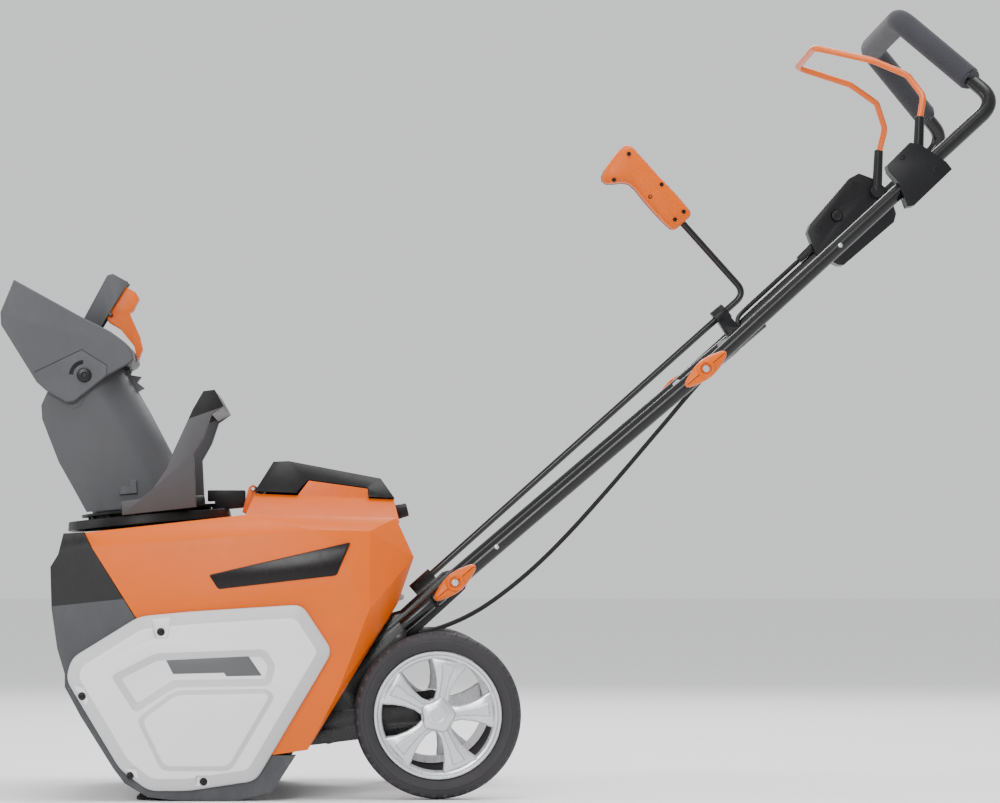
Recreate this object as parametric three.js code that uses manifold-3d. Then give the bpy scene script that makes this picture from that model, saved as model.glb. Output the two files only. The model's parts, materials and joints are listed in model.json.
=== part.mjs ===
// Cordless single-stage snow blower.
// Millimetres, +Z up, -X towards the intake, +Y the machine's right-hand side.
// The origin is on the ground under the middle of the machine.
import * as THREE from 'three'
import { ConvexGeometry } from 'three/addons/geometries/ConvexGeometry.js'
import { mergeVertices } from 'three/addons/utils/BufferGeometryUtils.js'
import Module from 'manifold-3d'

const wasm = await Module()
wasm.setup()

// ---------------------------------------------------------------- driving dimensions
const GAP = 0.4                      // clearance between neighbouring pieces
const AUGER = [-385, 118]            // auger axis in the XZ plane
const AUGER_RADIUS = 100
const SCROLL_RADIUS = 108            // inside of the scroll wall
const SCROLL_WALL = 5
const MOTOR = [-240, 190]
const MOTOR_RADIUS = 44
const BODY_HALF = 250                // half-width of the painted sides, below the crease along them
const SHOULDER_HALF = 243            // and at the shoulder above it
const WALL_IN = 222                  // inner face of the auger chamber's side wall
const WALL_OUT = 228
const COVER_HALF = 268               // half-width over the side covers
const BELT_PLANE = [231, 246]        // where pulleys and belt run, on the left side
const AXLE = [-69, 100]
const WHEEL_RADIUS = 100
const WHEEL_IN = 195
const WHEEL_OUT = 236
const RING = new THREE.Vector3(-424, 0, 335)
const RING_TILT = THREE.MathUtils.degToRad(5)
const DEFLECTOR_PIVOT = [-502.4, 513.7]
const LATCH_PIVOT = [-474, 592]
const KNOB_LOW = [-48.3, 258.4]      // pivot of the lower handle
const KNOB_HIGH = [252, 514.3]       // pivot of the upper handle
const LOWER_Y = 199.5                // side tubes of the lower handle
const UPPER_Y = 218.5                // side tubes of the upper handle
const TUBE = 9.3
const ROD_LOW = [-97.4, 246.7]       // control rod at its universal joint
const ROD_BEND = [322, 622]
const BAIL_PIVOT = [514, 770]
const BAIL_Y = 197

// ---------------------------------------------------------------- materials
const finish = (color, roughness, metalness = 0) =>
  new THREE.MeshStandardMaterial({ color, roughness, metalness })
const ORANGE = finish(0xff7d14, 0.45)
const GREY = finish(0x6a6c6f, 0.6)
const DARK = finish(0x2a2b2d, 0.6)
const BLACK = finish(0x141416, 0.5)
const WHITE = finish(0xe4e2e4, 0.5)
const SILVER = finish(0xc8cacd, 0.35, 0.8)
const STEEL = finish(0xa8abb0, 0.35, 0.9)
const GLOSS_BLACK = finish(0x0e0e10, 0.25)
const RUBBER = finish(0x3c3a3e, 0.85)
const FOAM = finish(0x4b4b50, 0.9)

// ---------------------------------------------------------------- solids
const v3 = (x, y, z) => new THREE.Vector3(x, y, z)

function solid(geometry) {
  const bare = geometry.index ? geometry.clone() : geometry
  bare.deleteAttribute('normal')
  bare.deleteAttribute('uv')
  const merged = mergeVertices(bare, 1e-4)
  return new wasm.Manifold(new wasm.Mesh({
    numProp: 3,
    vertProperties: new Float32Array(merged.attributes.position.array),
    triVerts: new Uint32Array(merged.index.array),
  }))
}

const join = (...parts) => parts.reduce((sum, part) => sum.add(part))
const cut = (base, ...tools) => tools.reduce((left, tool) => left.subtract(tool), base)

function geometryOf(manifold) {
  const mesh = manifold.getMesh()
  const geometry = new THREE.BufferGeometry()
  const points = []
  for (let i = 0; i < mesh.vertProperties.length; i += mesh.numProp) {
    points.push(...mesh.vertProperties.slice(i, i + 3))
  }
  geometry.setAttribute('position', new THREE.Float32BufferAttribute(points, 3))
  geometry.setIndex(Array.from(mesh.triVerts))
  return geometry
}

function outline(points) {
  return new THREE.Shape(points.map(([x, z]) => new THREE.Vector2(x, z)))
}

// An XZ outline carried along Y from y0 to y1.
function slab(points, y0, y1) {
  const geometry = new THREE.ExtrudeGeometry(outline(points), { depth: y1 - y0, bevelEnabled: false })
  geometry.rotateX(Math.PI / 2)
  geometry.translate(0, y1, 0)
  return solid(geometry)
}

function block(x0, x1, y0, y1, z0, z1) {
  const geometry = new THREE.BoxGeometry(x1 - x0, y1 - y0, z1 - z0)
  geometry.translate((x0 + x1) / 2, (y0 + y1) / 2, (z0 + z1) / 2)
  return solid(geometry)
}

// A round bar from a to b.
function bar(a, b, radius, sides = 10, endRadius = radius) {
  const geometry = new THREE.CylinderGeometry(endRadius, radius, a.distanceTo(b), sides)
  const turn = new THREE.Quaternion().setFromUnitVectors(v3(0, 1, 0), b.clone().sub(a).normalize())
  geometry.applyQuaternion(turn)
  geometry.translate((a.x + b.x) / 2, (a.y + b.y) / 2, (a.z + b.z) / 2)
  return solid(geometry)
}

// A round bar along Y through an XZ point.
const pin = ([x, z], y0, y1, radius, sides = 12) => bar(v3(x, y0, z), v3(x, y1, z), radius, sides)

// A flat link with round ends between two XZ points.
function link(a, b, radius, y0, y1, sides = 12) {
  const ends = [a, b].flatMap(([x, z]) => [y0, y1].flatMap((y) =>
    Array.from({ length: sides }, (_, i) => {
      const angle = (i / sides) * 2 * Math.PI
      return v3(x + radius * Math.cos(angle), y, z + radius * Math.sin(angle))
    })))
  return solid(new ConvexGeometry(ends))
}

const hull = (points) => solid(new ConvexGeometry(points))

// The same XZ points on both sides of the machine, at half-width y.
const pair = (y, points) => points.flatMap(([x, z]) => [v3(x, y, z), v3(x, -y, z)])

// A centre line through corners, each rounded off; only the bends take extra steps.
class BentPath extends THREE.Curve {
  constructor(corners, radius, perBend = 4) {
    super()
    this.knots = [corners[0]]
    for (let i = 1; i < corners.length - 1; i += 1) {
      const back = corners[i - 1].clone().sub(corners[i]).normalize()
      const ahead = corners[i + 1].clone().sub(corners[i]).normalize()
      const half = Math.acos(THREE.MathUtils.clamp(back.dot(ahead), -1, 1)) / 2
      const run = radius / Math.tan(half)
      const enter = corners[i].clone().addScaledVector(back, run)
      const leave = corners[i].clone().addScaledVector(ahead, run)
      this.knots.push(...new THREE.QuadraticBezierCurve3(enter, corners[i], leave).getPoints(perBend))
    }
    this.knots.push(corners.at(-1))
    this.steps = this.knots.length - 1
  }

  getPointAt(u) {
    const place = Math.min(u * this.steps, this.steps - 1e-9)
    const i = Math.floor(place)
    return this.knots[i].clone().lerp(this.knots[i + 1], place - i)
  }

  getTangentAt(u) {
    const i = Math.round(u * this.steps)
    const before = this.knots[Math.max(i - 1, 0)]
    const here = this.knots[i]
    const after = this.knots[Math.min(i + 1, this.steps)]
    const into = here.clone().sub(before).normalize()
    return after.clone().sub(here).normalize().add(into).normalize()
  }
}

function tube(curve, radius, sides, steps = curve.steps) {
  const rim = Array.from({ length: sides }, (_, i) => {
    const angle = (i / sides) * 2 * Math.PI
    return new THREE.Vector2(radius * Math.cos(angle), radius * Math.sin(angle))
  })
  return solid(new THREE.ExtrudeGeometry(new THREE.Shape(rim), { steps, extrudePath: curve, bevelEnabled: false }))
}

// A skin over cross-sections that all have the same number of points.
function loft(sections, flat) {
  const count = flat.length
  const positions = sections.flat().flatMap((p) => [p.x, p.y, p.z])
  const index = []
  for (let s = 0; s < sections.length - 1; s += 1) {
    for (let i = 0; i < count; i += 1) {
      const a = s * count + i
      const b = s * count + ((i + 1) % count)
      index.push(a, b, b + count, a, b + count, a + count)
    }
  }
  const last = (sections.length - 1) * count
  for (const [a, b, c] of THREE.ShapeUtils.triangulateShape(flat, [])) {
    index.push(c, b, a, last + a, last + b, last + c)
  }
  const geometry = new THREE.BufferGeometry()
  geometry.setAttribute('position', new THREE.Float32BufferAttribute(positions, 3))
  geometry.setIndex(index)
  const body = solid(geometry)
  return body.volume() > 0 ? body : solid(geometry.setIndex(index.reverse()))
}

// A turned piece about Y: profile pairs are [radius, y].
function turned([x, z], profile, sides = 20) {
  const geometry = new THREE.LatheGeometry(profile.map(([r, y]) => new THREE.Vector2(r, y)), sides)
  geometry.translate(x, 0, z)
  return solid(geometry)
}

const ring = (centre, inner, outer, y0, y1, sides = 20) =>
  turned(centre, [[inner, y0], [outer, y0], [outer, y1], [inner, y1], [inner, y0]], sides)

const snowblower = new THREE.Group()
const deckFrame = new THREE.Group()
deckFrame.position.copy(RING)
deckFrame.rotation.y = -RING_TILT
snowblower.add(deckFrame)

function add(name, shape, material, parent = snowblower) {
  const mesh = new THREE.Mesh(geometryOf(shape), material)
  mesh.name = name
  parent.add(mesh)
}

const SIDES = [['left', -1], ['right', 1]]

// A slab on one side of the machine, between two half-widths.
const sideSlab = (points, side, near, far) =>
  side < 0 ? slab(points, -far, -near) : slab(points, near, far)
const sidePin = (at, side, near, far, radius, sides) =>
  side < 0 ? pin(at, -far, -near, radius, sides) : pin(at, near, far, radius, sides)

// ---------------------------------------------------------------- body shells
const BLACK_SIDE = [
  [-492, 318], [-515, 317], [-521, 292], [-530, 277], [-528, 227], [-521, 180], [-512, 150], [-512, 135],
  [-493, 100], [-454, 38], [-441, 21], [-413, 4], [-377, 0], [-306, 0], [-266, 10], [-238, 53.5], [-265.5, 53.5],
  [-429.5, 217.5], [-481.5, 300.5],
]
const INNER_WALL = [
  [-491.8, 304], [-494, 315], [-513, 315], [-519, 291], [-528, 276], [-526, 227], [-519, 180], [-510, 150], [-510, 135],
  [-491, 100], [-452, 39], [-440, 22], [-412, 5], [-377, 1], [-306, 1], [-268, 11], [-245, 50], [-262, 100],
  [-262, 150], [-300, 190], [-330, 230], [-330, 320],
]
const COVER = [
  [-424, 218], [-400, 223], [-366, 224], [-234, 232], [-226, 227], [-196, 180], [-197, 174], [-282, 29],
  [-291, 22], [-365, 11.6], [-412, 11.6], [-430, 20], [-445, 36.6], [-510, 144], [-508, 161], [-498, 173],
]
const COVER_CENTRE = [-352, 121]
const grow = (points, [cx, cz], factor) => points.map(([x, z]) => [cx + (x - cx) * factor, cz + (z - cz) * factor])

function scrollArc(radius, fromDeg, toDeg, steps) {
  return Array.from({ length: steps + 1 }, (_, i) => {
    const angle = THREE.MathUtils.degToRad(fromDeg + ((toDeg - fromDeg) * i) / steps)
    return [AUGER[0] + radius * Math.cos(angle), AUGER[1] + radius * Math.sin(angle)]
  })
}

function augerHousing() {
  const scrollWall = slab([
    [-412, 4], [-412, 12], ...scrollArc(SCROLL_RADIUS, -88, 30, 14), [-345, 226], [-345, 322], [-338, 322],
    [-338, 228], ...scrollArc(SCROLL_RADIUS + SCROLL_WALL, 30, -88, 14),
  ], -WALL_IN - 1, WALL_IN + 1)
  const fascia = slab([
    [-515, 317], [-521, 292], [-530, 277], [-528, 227], [-522, 227], [-524, 275], [-515, 290], [-510, 309],
    [-338, 323.5], [-338, 328.5],
  ], -WALL_OUT, WALL_OUT)
  const underHood = SIDES.flatMap(([, side]) => [
    sideSlab([[-491.6, 311], [-330, 327.5], [-330, 345], [-491.6, 345]], side, 150.2, 216),
    sideSlab([[-491.6, 300], [-330, 300], [-330, 345], [-491.6, 345]], side, 214, 234),
  ])
  const throat = bar(v3(-417, 0, 255), v3(-429, 0, 392), 66, 32)
  const sides = SIDES.map(([, side]) => {
    const skin = cut(
      sideSlab(BLACK_SIDE, side, WALL_OUT - 1, BODY_HALF),
      hull([[-540, 229], [-400, 243.5]].flatMap(([x, z]) => [
        v3(x, side * BODY_HALF, z), v3(x, side * (SHOULDER_HALF - 4), z + 98), v3(x, side * 270, z), v3(x, side * 270, z + 98),
      ])),
      sideSlab(grow(COVER, COVER_CENTRE, 0.93), side, WALL_OUT, BODY_HALF + 2),
    )
    return cut(
      join(sideSlab(INNER_WALL, side, WALL_IN, WALL_OUT), skin),
      sideSlab([[-484.5, 300.5], [-330, 300.5], [-330, 345], [-484.5, 345]], side, 226.4, 229),
      sidePin(AUGER, side, WALL_IN - 2, WALL_OUT + 2, 17.4, 20),
      sidePin(MOTOR, side, WALL_IN - 2, WALL_OUT + 2, 14),
    )
  })
  return join(cut(join(scrollWall, cut(fascia, ...underHood)), throat), ...sides)
}
add('auger_housing', augerHousing(), DARK)
add('scraper_bar', slab([[-428, 0], [-413, 0], [-412.8, 3.6], [-412.8, 12], [-418, 12], [-428, 4]],
  -WALL_IN + GAP, WALL_IN - GAP), RUBBER)

// Painted hood: two hulls hollowed from below and from the front.
const HOOD_SIDE = [
  [-442, 239], [-429, 218.3], [-265, 54], [-224, 60], [-188, 129.5], [-151, 226], [-176, 262], [-246, 254],
]
const HOOD_SHOULDER = [[-481, 300], [-319, 312.5], [-218, 321]]
const BAY = { x0: -284, x1: -130, half: 96 }
const BULGE_RIM = [
  [-306, 330], [-291, 367], [-239, 368.5], [-225, 383], [-153, 373], [-152, 363], [-121, 360], [-116, 330],
]
const LID_HINGE = [-295, 374]
const HINGE_CHEEK = [[-308.5, 345], [-300.5, 376], [-295, 380], [-292, 377], [-292, 366], [-297, 345]]
// The quarter-turn catch stands square on the rear of the battery bulge.
const CATCH_AXIS = v3(0.97, 0, 0.243)
const catchAt = (t) => v3(-117.5, 0, 346).addScaledVector(CATCH_AXIS, t)
function hoodShell() {
  const outer = hull([
    ...pair(BODY_HALF, HOOD_SIDE), ...pair(SHOULDER_HALF, HOOD_SHOULDER), ...pair(238, [[-150, 320]]),
    ...pair(225, [[-491, 318], [-302, 339]]), ...pair(198, [[-119, 336], [-97.5, 289], [-117, 233]]),
  ])
  const inner = hull([
    ...pair(BODY_HALF - 5, [[-448, 238], [-440, 200], [-290, 30], [-235, 30], [-193, 130], [-157, 225], [-179, 258]]),
    ...pair(SHOULDER_HALF - 5, [[-500, 290], [-319, 307.5], [-220, 316]]), ...pair(233, [[-155, 315]]),
    ...pair(220, [[-520, 311], [-303, 334]]), ...pair(193, [[-123, 331], [-103, 289], [-122, 232]]),
  ])
  const bulge = hull([
    ...pair(135, [[-306, 332], [-114, 332]]), ...pair(112, [[-291, 367], [-121, 360]]),
  ])
  const tongues = SIDES.map(([, side]) => sideSlab(
    [[-244, 355], [-238, 366], [-225, 383], [-153, 373], [-151, 355]], side, 104, 111.5))
  const front = join(
    block(-600, -338, -150.5, 150.5, 280, 420),
    ...SIDES.map(([, side]) => sideSlab(BLACK_SIDE, side, WALL_IN, BODY_HALF + 2)),
    block(-600, -330, -BODY_HALF, BODY_HALF, 0, 60),
  )
  const openings = [
    block(BAY.x0 - 3, BAY.x1 + 3, -BAY.half - 3, BAY.half + 3, 240, 400),
    block(-330, -100, -205, 205, 0, 212),
    ...SIDES.map(([, side]) => sideSlab(grow(COVER, COVER_CENTRE, 0.93), side, WALL_OUT, BODY_HALF + 2)),
    block(-135, -90, -14, 14, 226, 254),
    bar(catchAt(-12), catchAt(4), 5.5, 12),
    block(-345, -316, -10, 10, 300, 345),
  ]
  const cheeks = SIDES.map(([, side]) => sideSlab(HINGE_CHEEK, side, 34.6, 42))
  return cut(join(cut(join(outer, bulge), inner), ...tongues, ...cheeks), front, ...openings,
    pin(LID_HINGE, -50, 50, 2.6, 16))
}
add('hood', hoodShell(), ORANGE)

// Side covers: a thick bevelled rim around a flat raised panel, screwed on.
const COVER_SCREWS = [[-398, 200], [-491, 124], [-434, 30], [-347, 23]]
for (const [name, side] of SIDES) {
  const skin = hull([
    ...COVER.map(([x, z]) => v3(x, side * (BODY_HALF + GAP), z)),
    ...grow(COVER, COVER_CENTRE, 0.95).map(([x, z]) => v3(x, side * COVER_HALF, z)),
  ])
  const hollow = hull([
    ...grow(COVER, COVER_CENTRE, 0.95).map(([x, z]) => v3(x, side * (BODY_HALF - 1), z)),
    ...grow(COVER, COVER_CENTRE, 0.91).map(([x, z]) => v3(x, side * (COVER_HALF - 4), z)),
  ])
  const holes = COVER_SCREWS.map((at) => sidePin(at, side, COVER_HALF - 7, COVER_HALF + 2, 4.6, 10))
  const posts = COVER_SCREWS.map((at) => sidePin(at, side, BODY_HALF + GAP, COVER_HALF - 2, 8, 12))
  add(`${name}_side_cover`, cut(join(cut(skin, hollow), ...posts), ...holes), WHITE)
}

// ---------------------------------------------------------------- auger and belt drive
function flight(start, inner, outer, thickness) {
  const steps = 16
  const reach = WALL_IN - 8
  const flat = [[inner, -1], [outer, -1], [outer, 1], [inner, 1]].map(([r, s]) => new THREE.Vector2(r, s))
  const sections = Array.from({ length: steps + 1 }, (_, i) => {
    const y = -reach + (2 * reach * i) / steps
    const angle = start + (1 - Math.abs(y) / reach) * THREE.MathUtils.degToRad(200)
    return flat.map(({ x: r, y: s }) => v3(
      AUGER[0] + r * Math.cos(angle) - (s * thickness / 2) * Math.sin(angle), y,
      AUGER[1] + r * Math.sin(angle) + (s * thickness / 2) * Math.cos(angle)))
  })
  return loft(sections, flat)
}
const drum = ring(AUGER, 9.4, 17, -WALL_IN + 6, WALL_IN - 6)
const bore = pin(AUGER, -WALL_IN, WALL_IN, 9.4, 24)
add('auger_rotor', cut(join(drum, flight(0, 12, 82, 5), flight(Math.PI, 12, 82, 5)), bore), BLACK)
add('auger_rubber_a', flight(0, 83.6, AUGER_RADIUS, 9), RUBBER)
add('auger_rubber_b', flight(Math.PI, 83.6, AUGER_RADIUS, 9), RUBBER)
add('auger_shaft', pin(AUGER, -BELT_PLANE[1] - 1, WALL_OUT + 6, 9), STEEL)
for (const [name, side] of SIDES) {
  const near = side < 0 ? -WALL_OUT - 1 : WALL_IN - 3
  add(`auger_bearing_${name}`, ring(AUGER, 9.4, 16.9, near, near + 10), STEEL)
}
const AUGER_PULLEY = 46
const MOTOR_PULLEY = 13
const belted = (at, radius, hub) => ring(at, hub, radius, -BELT_PLANE[1], -BELT_PLANE[0], 20)
add('auger_pulley', belted(AUGER, AUGER_PULLEY, 9.4), BLACK)

// The belt is the skin around both pulleys.
function beltLoop(extra, y0, y1) {
  const around = ([x, z], r) => Array.from({ length: 20 }, (_, i) => {
    const angle = (i / 20) * 2 * Math.PI
    return [x + (r + extra) * Math.cos(angle), z + (r + extra) * Math.sin(angle)]
  })
  const rim = [...around(AUGER, AUGER_PULLEY), ...around(MOTOR, MOTOR_PULLEY)]
  return hull(rim.flatMap(([x, z]) => [v3(x, y0, z), v3(x, y1, z)]))
}
add('drive_belt', cut(beltLoop(4.8, -BELT_PLANE[1] + 1, -BELT_PLANE[0] - 1),
  beltLoop(1.3, -BELT_PLANE[1] - 1, -BELT_PLANE[0] + 1)), RUBBER)

add('motor', cut(join(
  pin(MOTOR, -WALL_IN + GAP, -120, MOTOR_RADIUS, 24), pin(MOTOR, -120.5, -108, 30, 24),
  pin(MOTOR, -WALL_OUT - 1, -WALL_IN + 5, 12.5)), pin(MOTOR, -WALL_OUT - 2, -130, 6.4)), BLACK)
add('motor_pulley', join(pin(MOTOR, -BELT_PLANE[1] - 1, -131, 6), belted(MOTOR, MOTOR_PULLEY, 5)), STEEL)
add('motor_controller', block(-262, -172, 60, 160, 172, 214), BLACK)

// ---------------------------------------------------------------- battery
const bay = cut(block(BAY.x0, BAY.x1, -BAY.half, BAY.half, 259, 357),
  block(BAY.x0 + 3, BAY.x1 - 3, -BAY.half + 3, BAY.half - 3, 262, 360))
add('battery_bay', join(bay, block(-240, -174, -30, 30, 261, 270)), BLACK)
add('battery_pack', join(
  block(-279, -135, -90, 90, 270.4, 350),
  cut(block(-250, -164, -40, 40, 349, 358), block(-240, -174, -28, 28, 350, 360))), GREY)

const LID_BASE = 113
const LID_TOP = 97
function lidShell() {
  const outer = hull([
    ...pair(LID_BASE + 2, [[-291, 370], [-120, 361.5]]), ...pair(LID_TOP, [[-268.7, 406.5], [-250, 407.4], [-137, 386]]),
  ])
  const inner = hull([
    ...pair(LID_BASE - 0.6, [[-286, 368], [-125, 360]]), ...pair(LID_TOP - 4, [[-266, 401.5], [-251, 402.4], [-140, 382]]),
  ])
  const notch = SIDES.map(([, side]) => sideSlab(
    [[-240, 355], [-239, 369.5], [-225.5, 384], [-152.5, 374], [-151.5, 355]], side, 103.5, 130))
  const hinge = pin(LID_HINGE, -34, 34, 5)
  const bridge = block(-295, -284, -34, 34, 371.5, 376.5)
  return cut(join(cut(outer, inner), hinge, bridge), ...notch, pin(LID_HINGE, -40, 40, 2.6, 16),
    block(-320, -100, -200, 200, 330, 359.8), block(-299.5, -289.5, -12, 12, 366, 382))
}
add('battery_lid', lidShell(), BLACK)
add('lid_hinge_pin', pin(LID_HINGE, -46, 46, 2.2, 16), STEEL)
add('lid_catch_knob', join(bar(catchAt(-9), catchAt(2), 4.5), bar(catchAt(0.7), catchAt(15), 9.5, 16, 8.5)), BLACK)

// ---------------------------------------------------------------- chute, in the tilted frame of its ring
const RING_OUTER = 85
const disc = (radius, low, high, sides = 24) => bar(v3(0, 0, low), v3(0, 0, high), radius, sides)
const PINION = [94.6, 0]
function deckPlate() {
  const rounded = hull([-1, 1].flatMap((side) => Array.from({ length: 24 }, (_, i) => {
    const angle = (i / 24) * 2 * Math.PI
    return v3(100 * Math.cos(angle), side * 48 + 100 * Math.sin(angle), 0)
  })).flatMap(({ x, y }) => [v3(x, y, -5), v3(x * 0.985, y * 0.985, 6)]))
  return cut(rounded, disc(66, -10, 20), bar(v3(PINION[0], 0, -20), v3(PINION[0], 0, 20), 5, 16))
}
add('chute_deck', deckPlate(), DARK, deckFrame)
const teeth = Array.from({ length: 14 }, (_, i) => {
  const angle = (i / 14) * 2 * Math.PI
  const tooth = new THREE.BoxGeometry(4, 5, 4)
  tooth.translate(75, 0, 8.6)
  tooth.rotateZ(angle)
  return solid(tooth)
})
add('chute_ring', cut(join(disc(74, 6.6, 14.5), disc(RING_OUTER, 11, 14.5), ...teeth), disc(63, 0, 20)),
  DARK, deckFrame)
add('chute_pinion', join(bar(v3(PINION[0], 0, 6.8), v3(PINION[0], 0, 10.4), 17, 20),
  bar(v3(PINION[0], 0, -62), v3(PINION[0], 0, 10), 4, 12), bar(v3(PINION[0], 0, -62), v3(PINION[0], 0, -54), 9, 20)), BLACK, deckFrame)

// U-shaped channel, open to the front: rows give the front and back points, then the half-width.
const CHUTE_ROWS = [
  [[-500, 345], [-362, 357], 62], [[-534, 406], [-393, 411], 64], [[-555, 460], [-424, 470], 65], [[-549, 493], [-459, 528], 65],
]
const CHUTE_WALL = 4
function channelSection([front, back, half], shrink) {
  const along = v3(back[0] - front[0], 0, back[1] - front[1])
  const depth = along.length()
  along.normalize()
  const point = (d, y) => v3(front[0] + along.x * d, y, front[1] + along.z * d)
  const arc = (inset) => Array.from({ length: 7 }, (_, i) => {
    const angle = -Math.PI / 2 + (Math.PI * i) / 6
    const across = half - inset
    return [depth - inset - across * 0.75 * (1 - Math.cos(angle)), across * Math.sin(angle)]
  })
  const outer = [[0, -half], ...arc(0), [0, half]]
  const inner = [[0, half - shrink], ...arc(shrink).reverse(), [0, -half + shrink]]
  return [...outer, ...inner].map(([d, y]) => ({ at: point(d, y), flat: new THREE.Vector2(d, y) }))
}
function chuteTube() {
  const sections = CHUTE_ROWS.map((row) => channelSection(row, CHUTE_WALL))
  return loft(sections.map((row) => row.map(({ at }) => at)), sections[0].map(({ flat }) => flat))
}
const ringTop = new THREE.Matrix4().makeRotationY(-RING_TILT).setPosition(RING)
const ringSpace = (low, high, radius) => {
  const a = v3(0, 0, low).applyMatrix4(ringTop)
  const b = v3(0, 0, high).applyMatrix4(ringTop)
  return bar(a, b, radius, 24)
}
const skirt = cut(ringSpace(14.9, 26, 70), ringSpace(10, 40, 65))
const ears = SIDES.map(([, side]) => link(DEFLECTOR_PIVOT, [-517, 486], 13, ...(side < 0 ? [-65, -61] : [61, 65])))
const ratchet = slab([[-461, 520], [-447, 525], [-449.5, 517], [-436, 515], [-441, 508], [-432, 501], [-444, 494]], -9, 9)
add('chute_tube', cut(join(cut(chuteTube(), ringSpace(-20, 15, 150)), skirt, ratchet, ...ears),
  pin(DEFLECTOR_PIVOT, -90, 90, 4.5), pin(DEFLECTOR_PIVOT, -60.9, 60.9, 9.5)), GREY)

// ---------------------------------------------------------------- deflector
const DEFLECTOR_HALF = 75
const DEFLECTOR = [
  [-589.5, 631.7], [-606, 591], [-605, 575.5], [-561, 505], [-548.7, 494], [-524.4, 479.5], [-514.5, 480.6],
  [-476, 511.5], [-445, 529], [-441.7, 533.6], [-447, 547], [-457, 558], [-470, 567.5], [-505.7, 585.4],
]
const DEFLECTOR_HOLLOW = [
  [-640, 654.5], [-660, 560], [-560, 400], [-420, 400], [-451, 526], [-446.5, 532.5], [-451, 544], [-460, 554.3],
  [-472, 563.6], [-507.6, 581.8],
]
add('deflector', cut(slab(DEFLECTOR, -DEFLECTOR_HALF, DEFLECTOR_HALF),
  slab(DEFLECTOR_HOLLOW, -DEFLECTOR_HALF + 4.5, DEFLECTOR_HALF - 4.5), pin(DEFLECTOR_PIVOT, -90, 90, 4.5)), GREY)
for (const [name, side] of SIDES) {
  add(`deflector_pivot_${name}`, join(sidePin(DEFLECTOR_PIVOT, side, 58, 76, 4, 16),
    sidePin(DEFLECTOR_PIVOT, side, DEFLECTOR_HALF + GAP, 79, 9, 20), sidePin(DEFLECTOR_PIVOT, side, 56, 60, 7, 16)), STEEL)
}
const GRIP = [[-507, 586.6], [-478, 641], [-471, 643], [-451.5, 632.5], [-486, 576.2]]
const GRIP_HOLLOW = [[-500, 590], [-475, 637], [-440, 640], [-440, 560], [-490, 570], [-492, 585]]
add('deflector_grip', join(cut(slab(GRIP, -21, 21), slab(GRIP_HOLLOW, -17, 17)),
  pin(LATCH_PIVOT, -23, 23, 2.2, 16)), GREY)
const LATCH = [
  [-468, 605], [-455, 627], [-443, 620.5], [-439, 613], [-446.8, 597], [-451, 594.2], [-438, 565.5], [-434.6, 549.7],
  [-440, 535], [-444.5, 553], [-462, 574.5], [-477, 583.5], [-481.5, 592],
]
add('latch_lever', cut(slab(LATCH, -14, 14), pin(LATCH_PIVOT, -30, 30, 2.6, 16)), ORANGE)

// ---------------------------------------------------------------- carry handle astride the chute
const LEG = [
  [-451, 340], [-451, 357], [-429, 360], [-414, 372], [-397.6, 396], [-388.8, 418], [-365.8, 468.7], [-353, 491],
  [-339.4, 492.8], [-328.4, 473], [-343.8, 462], [-352.6, 435.7], [-364.7, 413.8], [-361.4, 350],
]
const LEG_NEAR = 128
const LEG_FAR = 146
const crossbar = slab([[-357, 484], [-352, 492], [-339.4, 492.8], [-328.4, 473], [-344, 464]], -LEG_NEAR - 1, LEG_NEAR + 1)
add('carry_handle', cut(join(crossbar, ...SIDES.map(([, side]) => sideSlab(LEG, side, LEG_NEAR, LEG_FAR))),
  ringSpace(-40, 6.5, 190)), GREY)

// ---------------------------------------------------------------- chute control drive behind the ring
add('gear_housing', cut(block(-352, -306, -24, 24, 330, 373), ringSpace(-40, 6.5, 190), ringSpace(0, 18, 86.5),
  bar(v3(PINION[0], 0, 0).applyMatrix4(ringTop), v3(PINION[0], 0, 22).applyMatrix4(ringTop), 19, 24),
  hull([...pair(150, [[-330, 320], [-300, 339.4], [-294, 330], [-290, 320]])])), BLACK)
const SHAFT_Z = 240
add('control_shaft', join(bar(v3(-312, 0, SHAFT_Z), v3(-116, 0, SHAFT_Z), 5, 16),
  bar(v3(-314, 0, SHAFT_Z), v3(-306, 0, SHAFT_Z), 24, 28), pin([-111, SHAFT_Z], -9, 9, 4, 16),
  block(-120, -112, -9, 9, SHAFT_Z - 5, SHAFT_Z + 5)), STEEL)

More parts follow.
